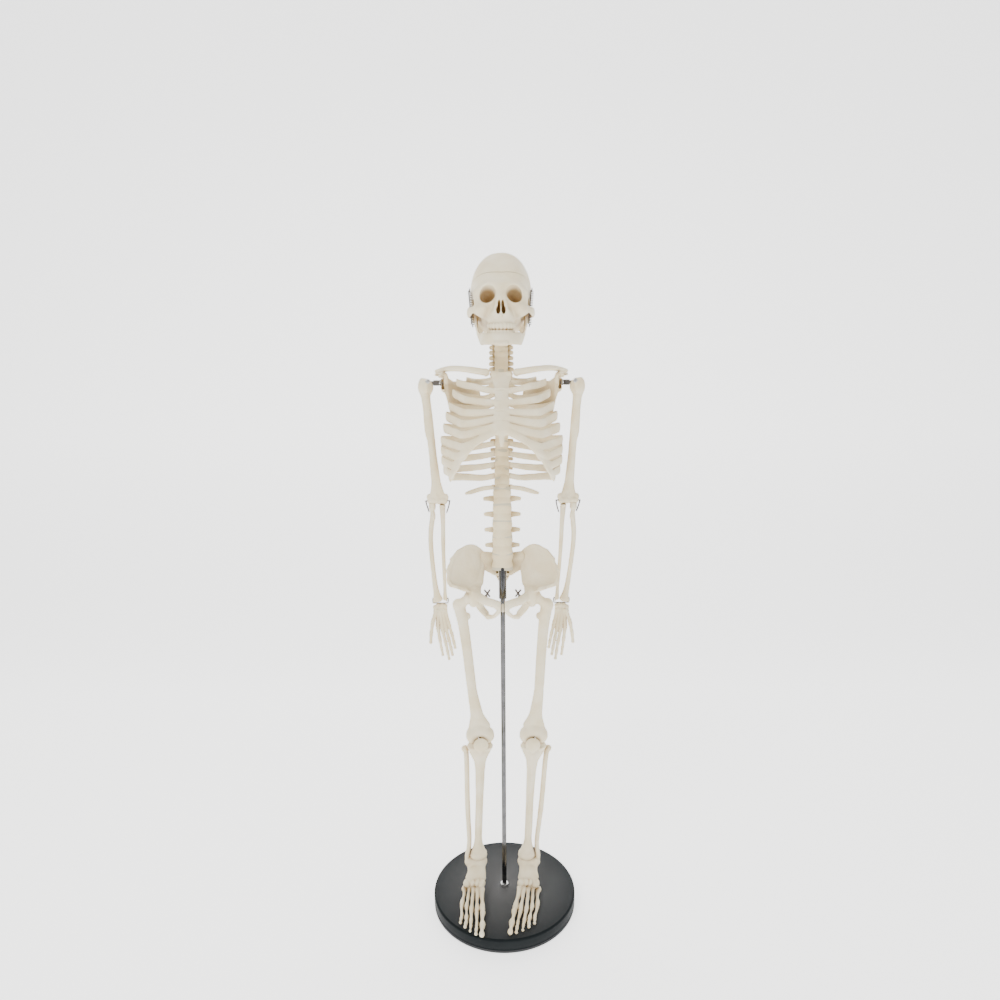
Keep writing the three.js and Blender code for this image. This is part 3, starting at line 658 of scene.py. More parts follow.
def skull_clay():
    low, high = node_box("cranium")
    clay = Clay(low - 2, (high[0] + 2, high[1] + 1, SKULL_TOP + 1), FINE)
    braincase(clay)
    cavity = clay.field + WALL
    face_bones(clay)
    tooth_row(clay, UPPER_ARCH, 757.4, 1)
    clay.both(clay.egg, (26, 13, 773.5), (4.8, 6, 8), 3)
    clay.both(clay.egg, (10, 10, 768.5), (3.2, 6, 3), 2)
    clay.both(clay.egg, (31.6, 8, 779), (3, 3.4, 3.4), 2)
    clay.egg((0, 50, 789), (3, 3.4, 3), 4)
    clay.stroke([(-20, 45, 786), (0, 51, 789), (20, 45, 786)], [0.9], UP, 4)
    clay.both(clay.stroke, [(9.5, -14, 772), (10, -13, 765)], [(1.2, 4), (1, 3)], SIDE, 2)
    _, y, z = clay.axes((0, 0, 0), clay.field.shape)
    floor = np.interp(y, *CAVITY_FLOOR) - z
    clay.field = np.maximum(clay.field, -np.maximum(cavity, floor * CAVITY_SLOPE)).astype(np.float32)
    carve_face(clay)
    clay.egg((0, 15, 770), (6.2, 7.4, 12), 1, carve=True)
    clay.egg((0, -18, 757), (9.4, 15, 7), 2, carve=True)
    return clay


def carve_face(clay):
    clay.both(clay.stroke, [(17, -50, 791.8), (15.8, -38, 791.4), (14.8, -26, 790.6)],
              [(10.4, 8.2), (10.2, 8.2), (8, 7)],
              UP, 0.8, carve=True)
    clay.both(clay.egg, (13.2, -26, 790.4), (6, 10, 5.4), 2, carve=True)
    clay.both(clay.egg, (2.9, -40, 774), (2.5, 11, 4.2), 0.4, carve=True)
    clay.both(clay.egg, (2, -40, 779), (1.7, 10, 4.6), 0.4, carve=True)
    clay.both(clay.egg, (28.5, -12, 775), (5.6, 9.5, 10), 2, carve=True)
    clay.both(clay.egg, (31, -10, 786), (3.6, 8, 9), 2, carve=True)
    clay.both(clay.egg, (35, 3.4, 777.4), (4, 1.6, 1.6), 0.8, carve=True)
    clay.both(clay.egg, (13, -37, 779.4), (0.9, 3, 0.9), 0.6, carve=True)
    clay.both(clay.egg, (15, -38, 768.5), (3, 3.2, 4.5), 3, carve=True)


def skull():
    clay = skull_clay()
    clay.roughen(0.15, 9, 1)
    whole = clay.field.copy()
    clay.keep(2, CAP_CUT, above=False)
    clay_piece("skull_base", clay, "head", "bone", "cranium")
    clay.field = whole
    clay.keep(2, CAP_CUT + CAP_GAP, above=True)
    clay_piece("skull_cap", clay, "cap", "bone", "calvaria")


def jaw_bone():
    clay = block("mandible", 1, (1, 1, 3), FINE)
    arch = [(23.6, -9, 753.6), (20.8, -20, 750.6), (15.6, -31, 747.2), (8, -38, 745), (0, -40.2, 744)]
    arch += [(-x, y, z) for x, y, z in arch[-2::-1]]
    half = [(6.4, 1.9), (6.6, 2.2), (6, 2.4), (6, 2.4), (6.2, 2.6)]
    clay.stroke(arch, half + half[-2::-1], from_face((0, -12)), 1)
    clay.both(clay.stroke, [(23.8, -9, 753), (26.8, -6.5, 760), (28.8, -5.5, 770)],
              [(4.8, 1.9), (6, 1.7), (5, 1.3)],
              SIDE, 2)
    clay.both(clay.stroke, [(28.8, -3, 769), (29, -2.2, 776), (29, -2.6, 779.6)],
              [(2.2, 1.4), (1.7, 1.4), (2, 3.2)],
              BACK, 1.5)
    clay.both(clay.stroke, [(28.8, -9, 768), (28.6, -10.4, 774.5)], [(2.4, 1.2), (1, 0.8)], SIDE, 1.5)
    clay.stroke([(-6, -41, 739.6), (0, -42, 739), (6, -41, 739.6)], [(1.6, 2.2)], blend=3)
    clay.stroke([(x, y, 750 + bite_rise(y)) for x, y, _ in LOWER_ARCH], [(2.6, 2)], from_face((0, -12)), 2)
    tooth_row(clay, LOWER_ARCH, 751.6, -1)
    clay_piece("lower_jaw", clay, "jaw", "bone", "mandible")


def jaw_springs():
    """Open coils with a hook at each end, from the temples down to the jaw's branches."""
    turns, radius, wire = 20, 1.8, 0.5
    for side_name, side in SIDES.items():
        low, high = node_box(f"jaw_spring_{side_name}")
        top = np.array([side * 35.6, -13, high[2] - 1])
        foot = np.array([side * 32.8, -7.2, low[2] + 1])
        along = unit(foot - top)
        across = unit(np.cross(along, SIDE))
        other = np.cross(along, across)
        coil = []
        for i in range(turns * 8 + 1):
            t = i / (turns * 8)
            angle = t * turns * 2 * math.pi
            run = top + (foot - top) * (0.06 + 0.88 * t)
            coil.append(run + radius * (math.cos(angle) * across + math.sin(angle) * other))
        parts = [tube(coil, wire, 6, 1), tube([top, top + along * 3], wire * 1.3, 6, 2),
                 tube([foot, foot - along * 3], wire * 1.3, 6, 2)]
        piece = metal_piece(f"jaw_coil_{side_name}", parts, "dark", None, f"jaw_spring_{side_name}")
        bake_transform(piece)


# ---- Spine

def spine_depth():
    """The middle line of the vertebral bodies: heights and depths."""
    line = [(4, 487), (-2, 512), (0, 548), (8, 583), (20, 618), (27, 655), (22, 690), (10, 723), (4, 745),
            (10, 766)]
    samples, _ = spline([(0, y, z) for y, z in line], 12)
    return samples[:, 2], samples[:, 1]


SPINE_Z, SPINE_Y = spine_depth()


def spine_y(z):
    return float(np.interp(z, SPINE_Z, SPINE_Y))


def spine_tilt(z):
    """The direction along the spine at a height."""
    return unit(np.array([0, spine_y(z + 2) - spine_y(z - 2), 4]))


# The three runs of the spine. Each pair is for the lower and the upper end of the run.
RUNS = {
    "lumbar": dict(ends=(node_box("lumbar_spine")[0][2], 582.7), count=5, wide=(14.2, 11.4), deep=(8.8, 7.8),
                   spread=(20, 23), spur=13, drop=2, sweep=3,
                   wing=(0.25, 0.17, 0.13)),
    "thoracic": dict(ends=(583, 723), count=12, wide=(10, 7.4), deep=(7.8, 6.3), spread=(12, 15.5), spur=13,
                     drop=10, sweep=9,
                     wing=(0.2, 0.18, 0.2)),
    "cervical": dict(ends=(723.3, 764), count=7, wide=(8.6, 8), deep=(6, 5.4), spread=(13.6, 12.4), spur=10,
                     drop=3, sweep=0,
                     wing=(0.5, 0.5, 0.4)),
}


def between(ends, t):
    """A value part of the way from one end to the other."""
    return ends[0] + (ends[1] - ends[0]) * t


def vertebra(clay, z, step, wide, deep, reach, run):
    y = spine_y(z)
    up = spine_tilt(z)
    centre = np.array([0, y, z])
    half = step * 0.36
    clay.stroke([centre - up * half, centre, centre + up * half],
                [(wide, deep), (wide * 0.84, deep * 0.86), (wide, deep)],
                BACK, 0.6, per_span=4)
    arch = y + deep
    clay.both(clay.stroke, [(wide * 0.5, arch - 2, z + 0.8), (wide * 0.62, arch + 2, z + 0.4),
                            (3, arch + 5, z - 1),
                            (0, arch + 6.4, z - 1.4)],
              [(step * 0.16, 1.7), (step * 0.2, 1.6), (step * 0.26, 1.2), (step * 0.26, 1.2)], SIDE, 1)
    clay.both(clay.stroke, [(wide * 0.6, arch + 2.4, z), (reach * 0.75, arch + run["sweep"] * 0.8, z + 0.4),
                            (reach, arch + run["sweep"], z + 0.2)],
              [(step * share, 1.8) for share in run["wing"]], BACK, 1)
    clay.stroke([(0, arch + 5, z - 1), (0, arch + run["spur"] * 0.8, z - 1 - run["drop"] * 0.8),
                 (0, arch + run["spur"], z - 1 - run["drop"])],
                [(step * 0.24, 1.0), (step * 0.2, 0.9), (step * 0.22, 1.3)], SIDE, 1)
    for end in (1, -1):
        clay.both(clay.egg, (wide * 0.68, arch + 3.6, z + end * step * 0.36), (1.8, 1.5, step * 0.2), 0.8)


def spine_run(name):
    run = RUNS[name]
    bottom, top = run["ends"]
    step = (top - bottom) / run["count"]
    clay = block(f"{name}_spine", 1, 1, FINE if name == "cervical" else CELL)
    for i in range(run["count"]):
        t = (i + 0.5) / run["count"]
        sizes = [between(run[key], t) for key in ("wide", "deep", "spread")]
        vertebra(clay, bottom + (i + 0.5) * step, step, *sizes, run)
    clay.roughen(0.12, 5, len(name))
    clay_piece(f"{name}_vertebrae", clay, "torso", "spine", f"{name}_spine")
    return bottom, step, run


def spine_discs(name, bottom, step, run):
    """The soft discs between the bodies of one run."""
    clay = block(f"{name}_spine", 1, 1)
    for i in range(run["count"] + (name != "cervical")):
        z = bottom + i * step
        t = i / run["count"]
        wide = between(run["wide"], t) * 0.98
        deep = between(run["deep"], t) * 0.98
        up = spine_tilt(z) * step * 0.11
        centre = np.array([0, spine_y(z), z])
        clay.stroke([centre - up, centre + up], [(wide, deep)], BACK, 0)
    clay_piece(f"{name}_discs", clay, "torso", "disc")


def spine():
    for name in RUNS:
        spine_discs(name, *spine_run(name))


# ---- Rib cage

# Each rib: its widest point (x, z), where its cartilage starts, and where that ends.
RIBS = [
    ((41, 712), (27, -19, 704), (8, -25, 703.5)),
    ((53, 709), (32, -30, 697.5), (6, -32.5, 691.5)),
    ((58, 697), (38, -34, 682), (6, -37.5, 678.5)),
    ((63, 682.5), (41, -37, 668), (6, -41, 668)),
    ((67, 671), (42, -39, 655.5), (6, -43.5, 660)),
    ((70.5, 657.5), (43, -41, 643.5), (6, -46, 652)),
    ((74, 643), (44, -42, 630), (5, -47, 647)),
    ((74, 632), (52, -37, 620), (34, -45, 631)),
    ((73.5, 620), (57, -31, 610.5), (43, -41, 621)),
    ((71, 608.5), (60, -25, 601.5), (51, -36, 611)),
    ((64, 600), (63, -13, 597), (58, -26, 601)),
]
MARGIN = [(6, -46.4, 647), (20, -47, 640.6), (33, -45, 631), (43, -41, 621), (51, -35.6, 612),
          (56.6, -27.6, 604.6)]


FIRST_ROOT = 719
ROOT_STEP = 9.2
ROOT_WIDENING = 0.25


def rib_root(number):
    """The height where a rib leaves the spine. The steps widen downwards."""
    return FIRST_ROOT - ROOT_STEP * number - ROOT_WIDENING * number * number


def rib_line(number, side, front, end):
    root = rib_root(number)
    y = spine_y(root)
    return [
        (9.5, y + 4, root), (side[0] * 0.38, y + 13, root - 2),
        (side[0] * 0.76, y * 0.75 + 12, root + (side[1] - root) * 0.6), (side[0], 2, side[1]),
        (side[0] * 0.4 + front[0] * 0.6, front[1] * 0.62, side[1] + (front[2] - side[1]) * 0.7), front,
        ((front[0] + end[0]) / 2, (front[1] + end[1]) / 2 - 2, (front[2] + end[2]) / 2 - 1), end,
    ]


def chest_out(p):
    return (p[0], (p[1] + 4) * 1.2, 0)


# Half heights and half depths along a rib, and how tall the top ribs are beside the others.
RIB_HALVES = [(3.4, 1.8), (4, 1.7), (4.6, 1.5), (5.4, 1.4), (4.9, 1.45), (4.5, 1.6), (4.3, 1.7), (4.1, 1.8)]
TOP_RIBS = (0.62, 0.8, 0.86, 0.92)


def rib_cage():
    clay = block("rib_cage", 2, 2)
    for number, (side, front, end) in enumerate(RIBS):
        share = TOP_RIBS[number] if number < len(TOP_RIBS) else 1
        halves = [(height * share, depth) for height, depth in RIB_HALVES]
        clay.both(clay.stroke, rib_line(number, side, front, end), halves, chest_out, 0.9)
    clay.both(clay.stroke, MARGIN, [(3.6, 1.6), (3.2, 1.6), (3.4, 1.6), (3.4, 1.6), (3.4, 1.6), (3, 1.5)],
              chest_out, 1.5)
    clay.stroke([(0, -23.6, 713), (0, -27, 705), (0, -32, 694)], [(12.4, 2.2), (11, 2.4), (8, 2.2)], blend=2)
    clay.both(clay.egg, (9.5, -25, 711.5), (3.6, 2.4, 3), 2)
    clay.stroke([(0, -32.4, 694), (0, -41, 670), (0, -46.4, 650), (0, -46.6, 643)],
                [(8, 2), (8.4, 2), (8.8, 2), (6, 1.8)], blend=2)
    for z, y in ((692.5, -34.8), (681, -39.3), (669, -43), (658, -46)):
        clay.stroke([(-6, y, z), (6, y, z)], [0.4], UP, 0.8, carve=True)
    clay.stroke([(0, -46.6, 644), (0, -46.6, 636), (0, -46.2, 630)], [(3.8, 1.3), (3, 1.2), (1.8, 1)],
                blend=1.2)
    clay.egg((0, -22, 716.5), (6, 6, 3), 1.5, carve=True)
    clay.roughen(0.16, 8, 3)
    clear_spine(clay)
    clay_piece("ribs_and_sternum", clay, "torso", "bone", "rib_cage")
    last_ribs()


def clear_spine(clay):
    """Trims what would reach into the vertebral bodies."""
    clay.stroke([(0, spine_y(z), z) for z in range(583, 726, 14)], [(10.6, 8.4), (8, 6.8)], BACK, 0,
                carve=True)


def last_ribs():
    clay = block("floating_rib_left", 2, 2)
    root = rib_root(11)
    clay.stroke([(10, spine_y(root) + 4, root), (26, 27, 586), (40, 26.6, 582), (47, 22.5, 580)],
                [(2.8, 1.5), (3.2, 1.4), (3, 1.3), (1.8, 1.1)], chest_out, 0.5)
    clear_spine(clay)
    clay_pair("last_rib", clay, "torso", "bone", stay, "floating_rib")


# ---- Shoulders

def fan(clay, root, rim, root_half, thickness, blend):
    """A thin curved plate: strokes from a root point out to each point of a rim."""
    rim = [np.array(p, float) for p in rim]
    root = np.array(root, float)
    for i, end in enumerate(rim):
        before, after = rim[max(i - 1, 0)], rim[min(i + 1, len(rim) - 1)]
        facing = unit(np.cross(after - before, end - root))
        spread = np.linalg.norm(after - before) / (4 if 0 < i < len(rim) - 1 else 2) * 1.25
        middle = (root + end) / 2
        clay.stroke([root, middle, end], [(root_half, thickness * 1.6), ((root_half + spread) / 2, thickness),
                                          (spread, thickness)], tuple(facing), blend)


def collar_bones():
    clay = block("clavicle_left", 3, 3)
    clay.stroke([(17, -27.4, 713), (38, -30.6, 715.4), (57, -15, 720.6), (69, 2, 723.6), (77.6, 8.4, 723)],
                [(3.9, 3.6), (3.2, 3.3), (3, 3.1), (3.6, 2.8), (4, 2.4)], UP, 1)
    clay.egg((17.8, -27, 713), (2.8, 3.8, 3.8), 1.5)
    clay.roughen(0.15, 6, 5)
    clay_pair("collar_bone", clay, "torso", "bone", stay, "clavicle")


def shoulder_blades():
    clay = block("scapula_left", 1, 1)
    x, y, z = SHOULDER
    neck = (x - 7.5, y + 4, z - 3)
    rim = [(33, 42, 714), (29, 47, 705), (27.5, 49.5, 692), (30, 50, 676), (36, 49, 660), (45, 46, 643)]
    fan(clay, neck, rim, 5, 0.75, 2)
    clay.stroke([neck, (64, 28, 682), (56, 38, 660), (46, 45.6, 642)],
                [(2, 2.8), (1.8, 2.2), (1.8, 2), (2.6, 1.8)], blend=2)
    clay.stroke(rim, [1.3], SIDE, 1.5)
    clay.stroke([(33, 42, 714), (52, 31, 712), neck], [(1.3, 1.4), (1.4, 1.5), (2.6, 3)], blend=1.5)
    clay.stroke([(28.5, 50, 697), (48, 42.5, 707), (66, 31, 717), (74.5, 22, 721.5), (79.6, 16.5, 721.6)],
                [(1.2, 2.6), (1.3, 3.4), (1.8, 3.6), (3, 2), (3.2, 1.7)], UP, 1.5)
    clay.stroke([(x - 8, y, z + 1), (x - 7.4, y - 9, z + 7), (x - 4, y - 16, z + 6),
                 (x - 1.6, y - 19, z + 3)],
                [(3, 2.6), (2.4, 2.2), (2.3, 2.1), 2], UP, 2)
    clay.egg((x - 3, y + 1.6, z - 1.5), (3.6, 5.4, 8.6), 2)
    clay.egg((x + 4.4, y + 1, z - 2), (5.2, 6.6, 8.6), 0.8, carve=True)
    clay.stroke([(x - 3, y, z - 6), (x - 3, y, z + 8)], [(1.9, 4)], BACK, 0.4, carve=True)
    clay.roughen(0.14, 7, 6)
    clay_pair("shoulder_blade", clay, "torso", "bone", stay, "scapula")


# ---- Arms

def upper_arms():
    clay = block("humerus_left", 3, 1)
    x, y, z = ELBOW
    clay.egg((92.2, 12, 706.4), (9, 8.9, 9.6), 0)
    clay.egg((96.6, 11.5, 707), (5.1, 6.8, 9.4), 2.5)
    clay.egg((91, 4.8, 704), (3.6, 3.4, 6), 2)
    clay.stroke([(93, 5, 700), (91.6, 6.6, 686)], [(0.7, 0.8)], BACK, 1, carve=True)
    clay.stroke([(94, 12, 703), (92.6, 12, 690), (89.8, 13, 660), (87.4, 15, 625), (85, y - 1, 594),
                 (84, y, 574)],
                [6.6, 5.6, (5, 4.8), (4.7, 4.3), (6, 3.6), (10.6, 3.2)], blend=3)
    clay.egg((93.4, 12.5, 664), (2.4, 3, 15), 4)
    clay.both(clay.egg, (11, y, z + 4.4), (3.2, 3, 4.4), 2.5, about=x)
    clay.stroke([(x - 8.2, y, z), (x - 5.2, y, z), (x - 2.6, y, z)], [4.6, 3.8, 4.6], BACK, 0.8)
    clay.stroke([(x + 1, y, z), (x + 6, y, z), (x + 9.6, y, z)], [3.6, 4.5, 3.9], BACK, 0.8)
    clay.egg((x - 3, y + 3.2, z + 9), (4.4, 2.2, 4.6), 1.5, carve=True)
    clay.egg((x - 2.6, y - 4.4, z + 8), (3.6, 1.9, 3.4), 1.5, carve=True)
    clay.egg((SHOULDER[0] + 14.5, 2.8, SHOULDER[2]), (2.4, 2, 2.4), 0.3, carve=True)
    bore(clay, ELBOW, 16)
    clay.roughen(0.16, 9, 7)
    clay_pair("upper_arm_bone", clay, "upper_arm", "bone", lean_arm, "humerus")


def inner_forearm_bone():
    clay = block("ulna_left", 5, 5)
    x, y, z = ELBOW
    wx, wy, wz = WRIST
    clay.stroke([(x - 5.6, y + 7, z + 3.6), (x - 5.6, y + 6, z - 3), (x - 6, y + 2, z - 11),
                 (x - 6.8, y + 1, z - 30),
                 (x - 7, y + 1, z - 60), (wx - 6, wy, wz + 22), (wx - 6.5, wy, wz + 6)],
                [(3, 2), (3.6, 2.6), (3.6, 3.4), (2.9, 3.1), 2.7, (2.1, 2.2), (2.9, 2.7)], blend=1)
    clay.stroke([(x - 5.8, y + 3, z - 7.4), (x - 5.6, y - 4, z - 6.4)], [(3.6, 2), (2.2, 1.2)], UP, 2)
    clay.egg((wx - 8.4, wy + 1.6, wz + 3.6), (1.1, 1.2, 2.4), 1)
    bore(clay, ELBOW, 12, 5.2)
    clay.roughen(0.12, 7, 8)
    clay_pair("inner_forearm_bone", clay, "forearm", "bone", lean_arm, "ulna")


def outer_forearm_bone():
    clay = block("radius_left", 5, 5)
    x, y, z = ELBOW
    wx, wy, wz = WRIST
    clay.stroke([(x + 7, y, z - 5.6), (x + 7, y, z - 8.6)], [4.5], BACK, 0)
    clay.stroke([(x + 7, y, z - 7), (x + 7, y, z - 13), (x + 6.6, y, z - 19), (x + 9.4, y, z - 50),
                 (wx + 8, wy - 1, wz + 34), (wx + 5, wy - 1, wz + 14), (wx + 3, wy - 1, wz + 5)],
                [3, 2.7, (3.3, 3.2), (3.1, 2.8), (3.2, 2.8), (4.4, 3.2), (6.2, 3.8)], blend=1)
    clay.egg((x + 5, y - 1.5, z - 20), (2.2, 2.2, 4), 2)
    clay.egg((wx + 8.6, wy - 1, wz + 3.8), (1.6, 2.4, 3.4), 1.5)
    clay.egg((x + 7, y, z - 4.4), (3, 3, 1.4), 0.5, carve=True)
    clay.roughen(0.12, 7, 9)
    clay_pair("outer_forearm_bone", clay, "forearm", "bone", lean_arm, "radius")


# Each finger's points from its root to its tip.
FINGERS = [
    [(86, 21, 427), (86.5, 20, 405), (84, 20, 384), (81.5, 22, 363.5)],
    [(82.5, 21, 426), (80.5, 20, 403), (76.5, 20, 381), (73, 22, 357.5)],
    [(79, 22, 426), (75.5, 21, 403), (71.5, 21, 383), (68, 22, 363.5)],
    [(76, 23, 427), (71, 22, 406), (67, 22, 390), (64, 22, 373.5)],
]
THUMB = [(87, 20, 429), (92, 16.4, 413), (94.8, 14, 398), (96.2, 13.2, 383)]


def small_bone(clay, a, b, thick, waist):
    """A finger or toe bone: two knuckles and a slim waist."""
    a, b = np.array(a, float), np.array(b, float)
    ends = [(thick * 1.12, thick), (thick * waist, thick * waist * 0.9),
            (thick * waist * 0.96, thick * waist * 0.86),
            (thick * 1.04, thick * 0.95)]
    inset = unit(b - a) * thick * 0.62
    a, b = a + inset, b - inset
    clay.stroke([a, a + (b - a) * 0.3, a + (b - a) * 0.7, b], ends, BACK, 0.35, per_span=4)


def digit(clay, line, splits, thick, waist):
    """A row of small bones along a digit. splits are the joints' places, as shares of its length."""
    centres, _ = spline(line, 20)
    places = np.concatenate([[0], np.cumsum(np.linalg.norm(np.diff(centres, axis=0), axis=1))])
    places = places / places[-1]
    at = lambda t: np.array([np.interp(t, places, centres[:, i]) for i in range(3)])
    for first, last, scale in zip(splits[:-1], splits[1:], (1, 0.9, 0.8, 0.7)):
        small_bone(clay, at(first), at(last), thick * scale, waist)


def hands():
    clay = block("hand_left", 5, 4, FINE)
    x, y, z = WRIST
    carpals = [(-6, 0.6, -4.4), (-1.6, 0, -3.6), (3.6, -0.4, -4.2), (7, -1, -6), (-5, 0.4, -9.6),
               (-1, 0, -10), (3.4, -0.6, -10),
               (6.8, -1.2, -11)]
    for dx, dy, dz in carpals:
        clay.egg((x + dx, y + dy, z + dz), (3.5, 3.4, 3.5), 0.5)
    clay.egg((x + 0.2, y, z - 9), (9.4, 2.7, 6), 0.6)
    for line in FINGERS:
        digit(clay, line, (0.0, 0.36, 0.64, 0.84, 1.0), 2.9, 0.88)
    digit(clay, THUMB, (0.0, 0.4, 0.72, 1.0), 2.9, 0.88)
    clay.both(clay.egg, (3.2, y, z - 2.2), 2.6, 0.8, about=x)
    bore(clay, WRIST, 14, 1.05)
    clay.roughen(0.12, 5, 10)
    clay_pair("hand_bones", clay, "palm", "bone", lean_arm, "hand")


# ---- Pelvis

CREST = [(27, 15, 505), (33, 11, 511), (41, 5.6, 514), (51, -1.5, 510.5), (60, -7.5, 502.5),
         (66.4, -12.5, 489.5)]
FRONT_RIM = [(66.4, -12.5, 489.5), (67.6, -18.5, 479), (66.6, -23, 469.6), (57, -24, 465), (47, -21, 461.6)]


def hip_bones():
    clay = block("hip_bone_left", 1, 1, FINE)
    x, y, z = HIP
    root = (x - 3, y + 2, z + 9)
    fan(clay, root, CREST, 7, 1.0, 3)
    fan(clay, root, FRONT_RIM, 7, 1.1, 3)
    clay.stroke(CREST, [(2.6, 2.4), (2, 2.2), (1.9, 2.2), (2, 2.4), (2.2, 2.5), 2.2], blend=2)
    clay.stroke(FRONT_RIM, [2.2, 1.8, (2.3, 2.2), (1.9, 2), 3], blend=2)
    clay.stroke([(28, 15.6, 503), (25.4, 15.5, 492), (27.4, 9.5, 480), (30, 1, 468)],
                [(2.8, 3.6), (3, 4.4), (3.4, 4), (5, 5.6)], blend=3)
    clay.egg((x - 1.6, y, z + 0.5), (9.6, 14.2, 14.2), 3)
    clay.stroke([(33.6, -15, 453), (22, -28.6, 448), (10, -35, 445), (3.4, -36, 442)],
                [(6, 4.6), (5.3, 3.4), (5, 3.3), (6, 3.2)], BACK, 2.5)
    clay.stroke([(4.2, -36, 441.5), (5.6, -33.4, 434.5), (12.6, -15, 425), (20, 3, 421.5)],
                [(2.8, 3.4), (2.8, 3.2), 2.4, (4, 3.6)], blend=2)
    clay.stroke([(32, 2, 444), (29.6, 8, 433.5), (22.6, 7, 425)], [(5.4, 5), (5.2, 5), (4.6, 4.4)], blend=3)
    clay.egg((23, 13.5, 442), (1.6, 3, 1.6), 2)
    clay.egg(HIP, 11.5, 0.5, carve=True)
    clay.egg((x + 9, y + 1, z - 11), (6, 4, 5), 1.5, carve=True)
    clay.stroke([(x - 14, y, z), (x, y, z)], [1.8], BACK, 0.2, carve=True)
    clay.keep(0, 2.5, above=True)
    clay.roughen(0.18, 9, 11)
    clay_pair("hip_bone_shape", clay, "torso", "bone", stay, "hip_bone")


def sacral_bone():
    clay = block("sacrum", 1, 1, FINE)
    clay.stroke([(0, 14, 498.5), (0, 18, 489), (0, 25.4, 475.5), (0, 27.6, 463)],
                [(19, 5.4), (20, 5.6), (11, 4), (3.8, 2.4)], (0, 1, 0.45), 1)
    clay.both(clay.stroke, [(25.6, 13, 499.5), (14, 13.4, 498), (0, 14, 496)], [(7, 5), (7.4, 5), (6, 5)],
              BACK, 3)
    clay.both(clay.stroke, [(25.4, 14, 490), (16, 16.4, 486), (8, 20, 480)], [(6.6, 4), (8, 4.4), (7, 4)],
              BACK, 3)
    clay.stroke([(0, 27, 465), (0, 26.4, 460.5)], [(2.8, 2), (1.2, 1.1)], blend=1)
    for i in range(4):
        z = 492.5 - 6.8 * i
        y = 9.5 + 4 * i
        for depth in (0, 13):
            clay.both(clay.egg, (9.8 - 1.3 * i, y + depth, z), (1.9 - 0.2 * i, 4.4, 1.6 - 0.12 * i), 1.2,
                      carve=True)
        clay.stroke([(-6, y - 0.8, z + 3.6), (6, y - 0.8, z + 3.6)], [(0.4, 0.5)], UP, 1, carve=True)
        clay.egg((0, y + 12.4 - 0.5 * i, z), (1.4, 2.6, 2.4), 1.5)
    clay.roughen(0.15, 7, 12)
    clay_piece("sacral_bone", clay, "torso", "spine", "sacrum")


def front_disc():
    low, high = node_box("pubic_disc")
    middle = (low + high) / 2
    clay = Clay(low - 1, high + 1, FINEST)
    clay.stroke([(0, middle[1], low[2] + 1.8), (0, middle[1] - 0.2, high[2] - 1.8)], [2.1], BACK, 0)
    clay_piece("front_disc", clay, "torso", "disc", "pubic_disc")


# ---- Legs

def thigh_bones():
    clay = block("femur_left", 5, 5)
    x, y, z = KNEE
    clay.egg(HIP, 10.8, 0)
    clay.stroke([HIP, (47, -7, 446), (56, -5, 439)], [(6.8, 6.4), 5.6, (6.8, 6.4)], BACK, 3)
    clay.stroke([(57, -4, 438), (55.4, -5, 430), (52, -7, 410), (48.8, -8, 379), (44.6, -9, 325),
                 (x + 3.4, y, z + 33),
                 (x + 0.6, y + 0.4, z + 16)],
                [(7, 6.6), (7.6, 6.8), (7, 6.3), (6.7, 6.1), (6.4, 5.9), (8.8, 6.6), (15, 8)], blend=3)
    clay.egg((58.6, -3.6, 438.6), (6.6, 7, 8.4), 3)
    clay.egg((46.4, -2, 423.4), (3.6, 3.4, 4.6), 3)
    clay.stroke([(50, -1.6, 405), (46, -4, 330)], [(1.2, 1)], blend=3)
    clay.both(clay.egg, (9.8, y + 1, z + 3), (9.2, 11, 11.6), 3, about=x)
    clay.egg((x, y - 5, z + 9), (11, 6.4, 9), 4)
    clay.egg((x, y + 10.5, z - 2), (4, 7.5, 8), 2, carve=True)
    clay.stroke([(x, y + 14, z - 5), (x, y, z - 5), (x, y - 12, z - 5)], [(2.5, 10.6)], UP, 0.4, carve=True)
    kneecap_room(clay)
    clay.keep(2, z - 8.5, above=True)
    bore(clay, KNEE, 22)
    clay.stroke([HIP - (12, 0, 0), HIP + (9, 0, 0)], [1.7], BACK, 0, carve=True)
    clay.roughen(0.18, 11, 13)
    clay_pair("thigh_bone", clay, "thigh", "bone", lean_leg, "femur")


def kneecap_room(clay):
    """Leaves room for the kneecap."""
    x, y, z = KNEE
    clay.egg((x - 1.6, y - 13.8, z - 6), (10.9, 4.3, 12.1), 0.4, carve=True)


def kneecaps():
    clay = block("patella_left", 5, 5, FINEST)
    x, y, z = KNEE
    clay.egg((x - 1.6, y - 13.8, z - 5.4), (10, 3.5, 9.8), 0)
    clay.stroke([(x - 1.6, y - 13, z - 16.4), (x - 1.6, y - 13.6, z - 8)], [(2.4, 1.8), (7, 3)], blend=2)
    clay.roughen(0.14, 4, 14)
    clay_pair("kneecap", clay, "thigh", "bone", lean_leg, "patella")


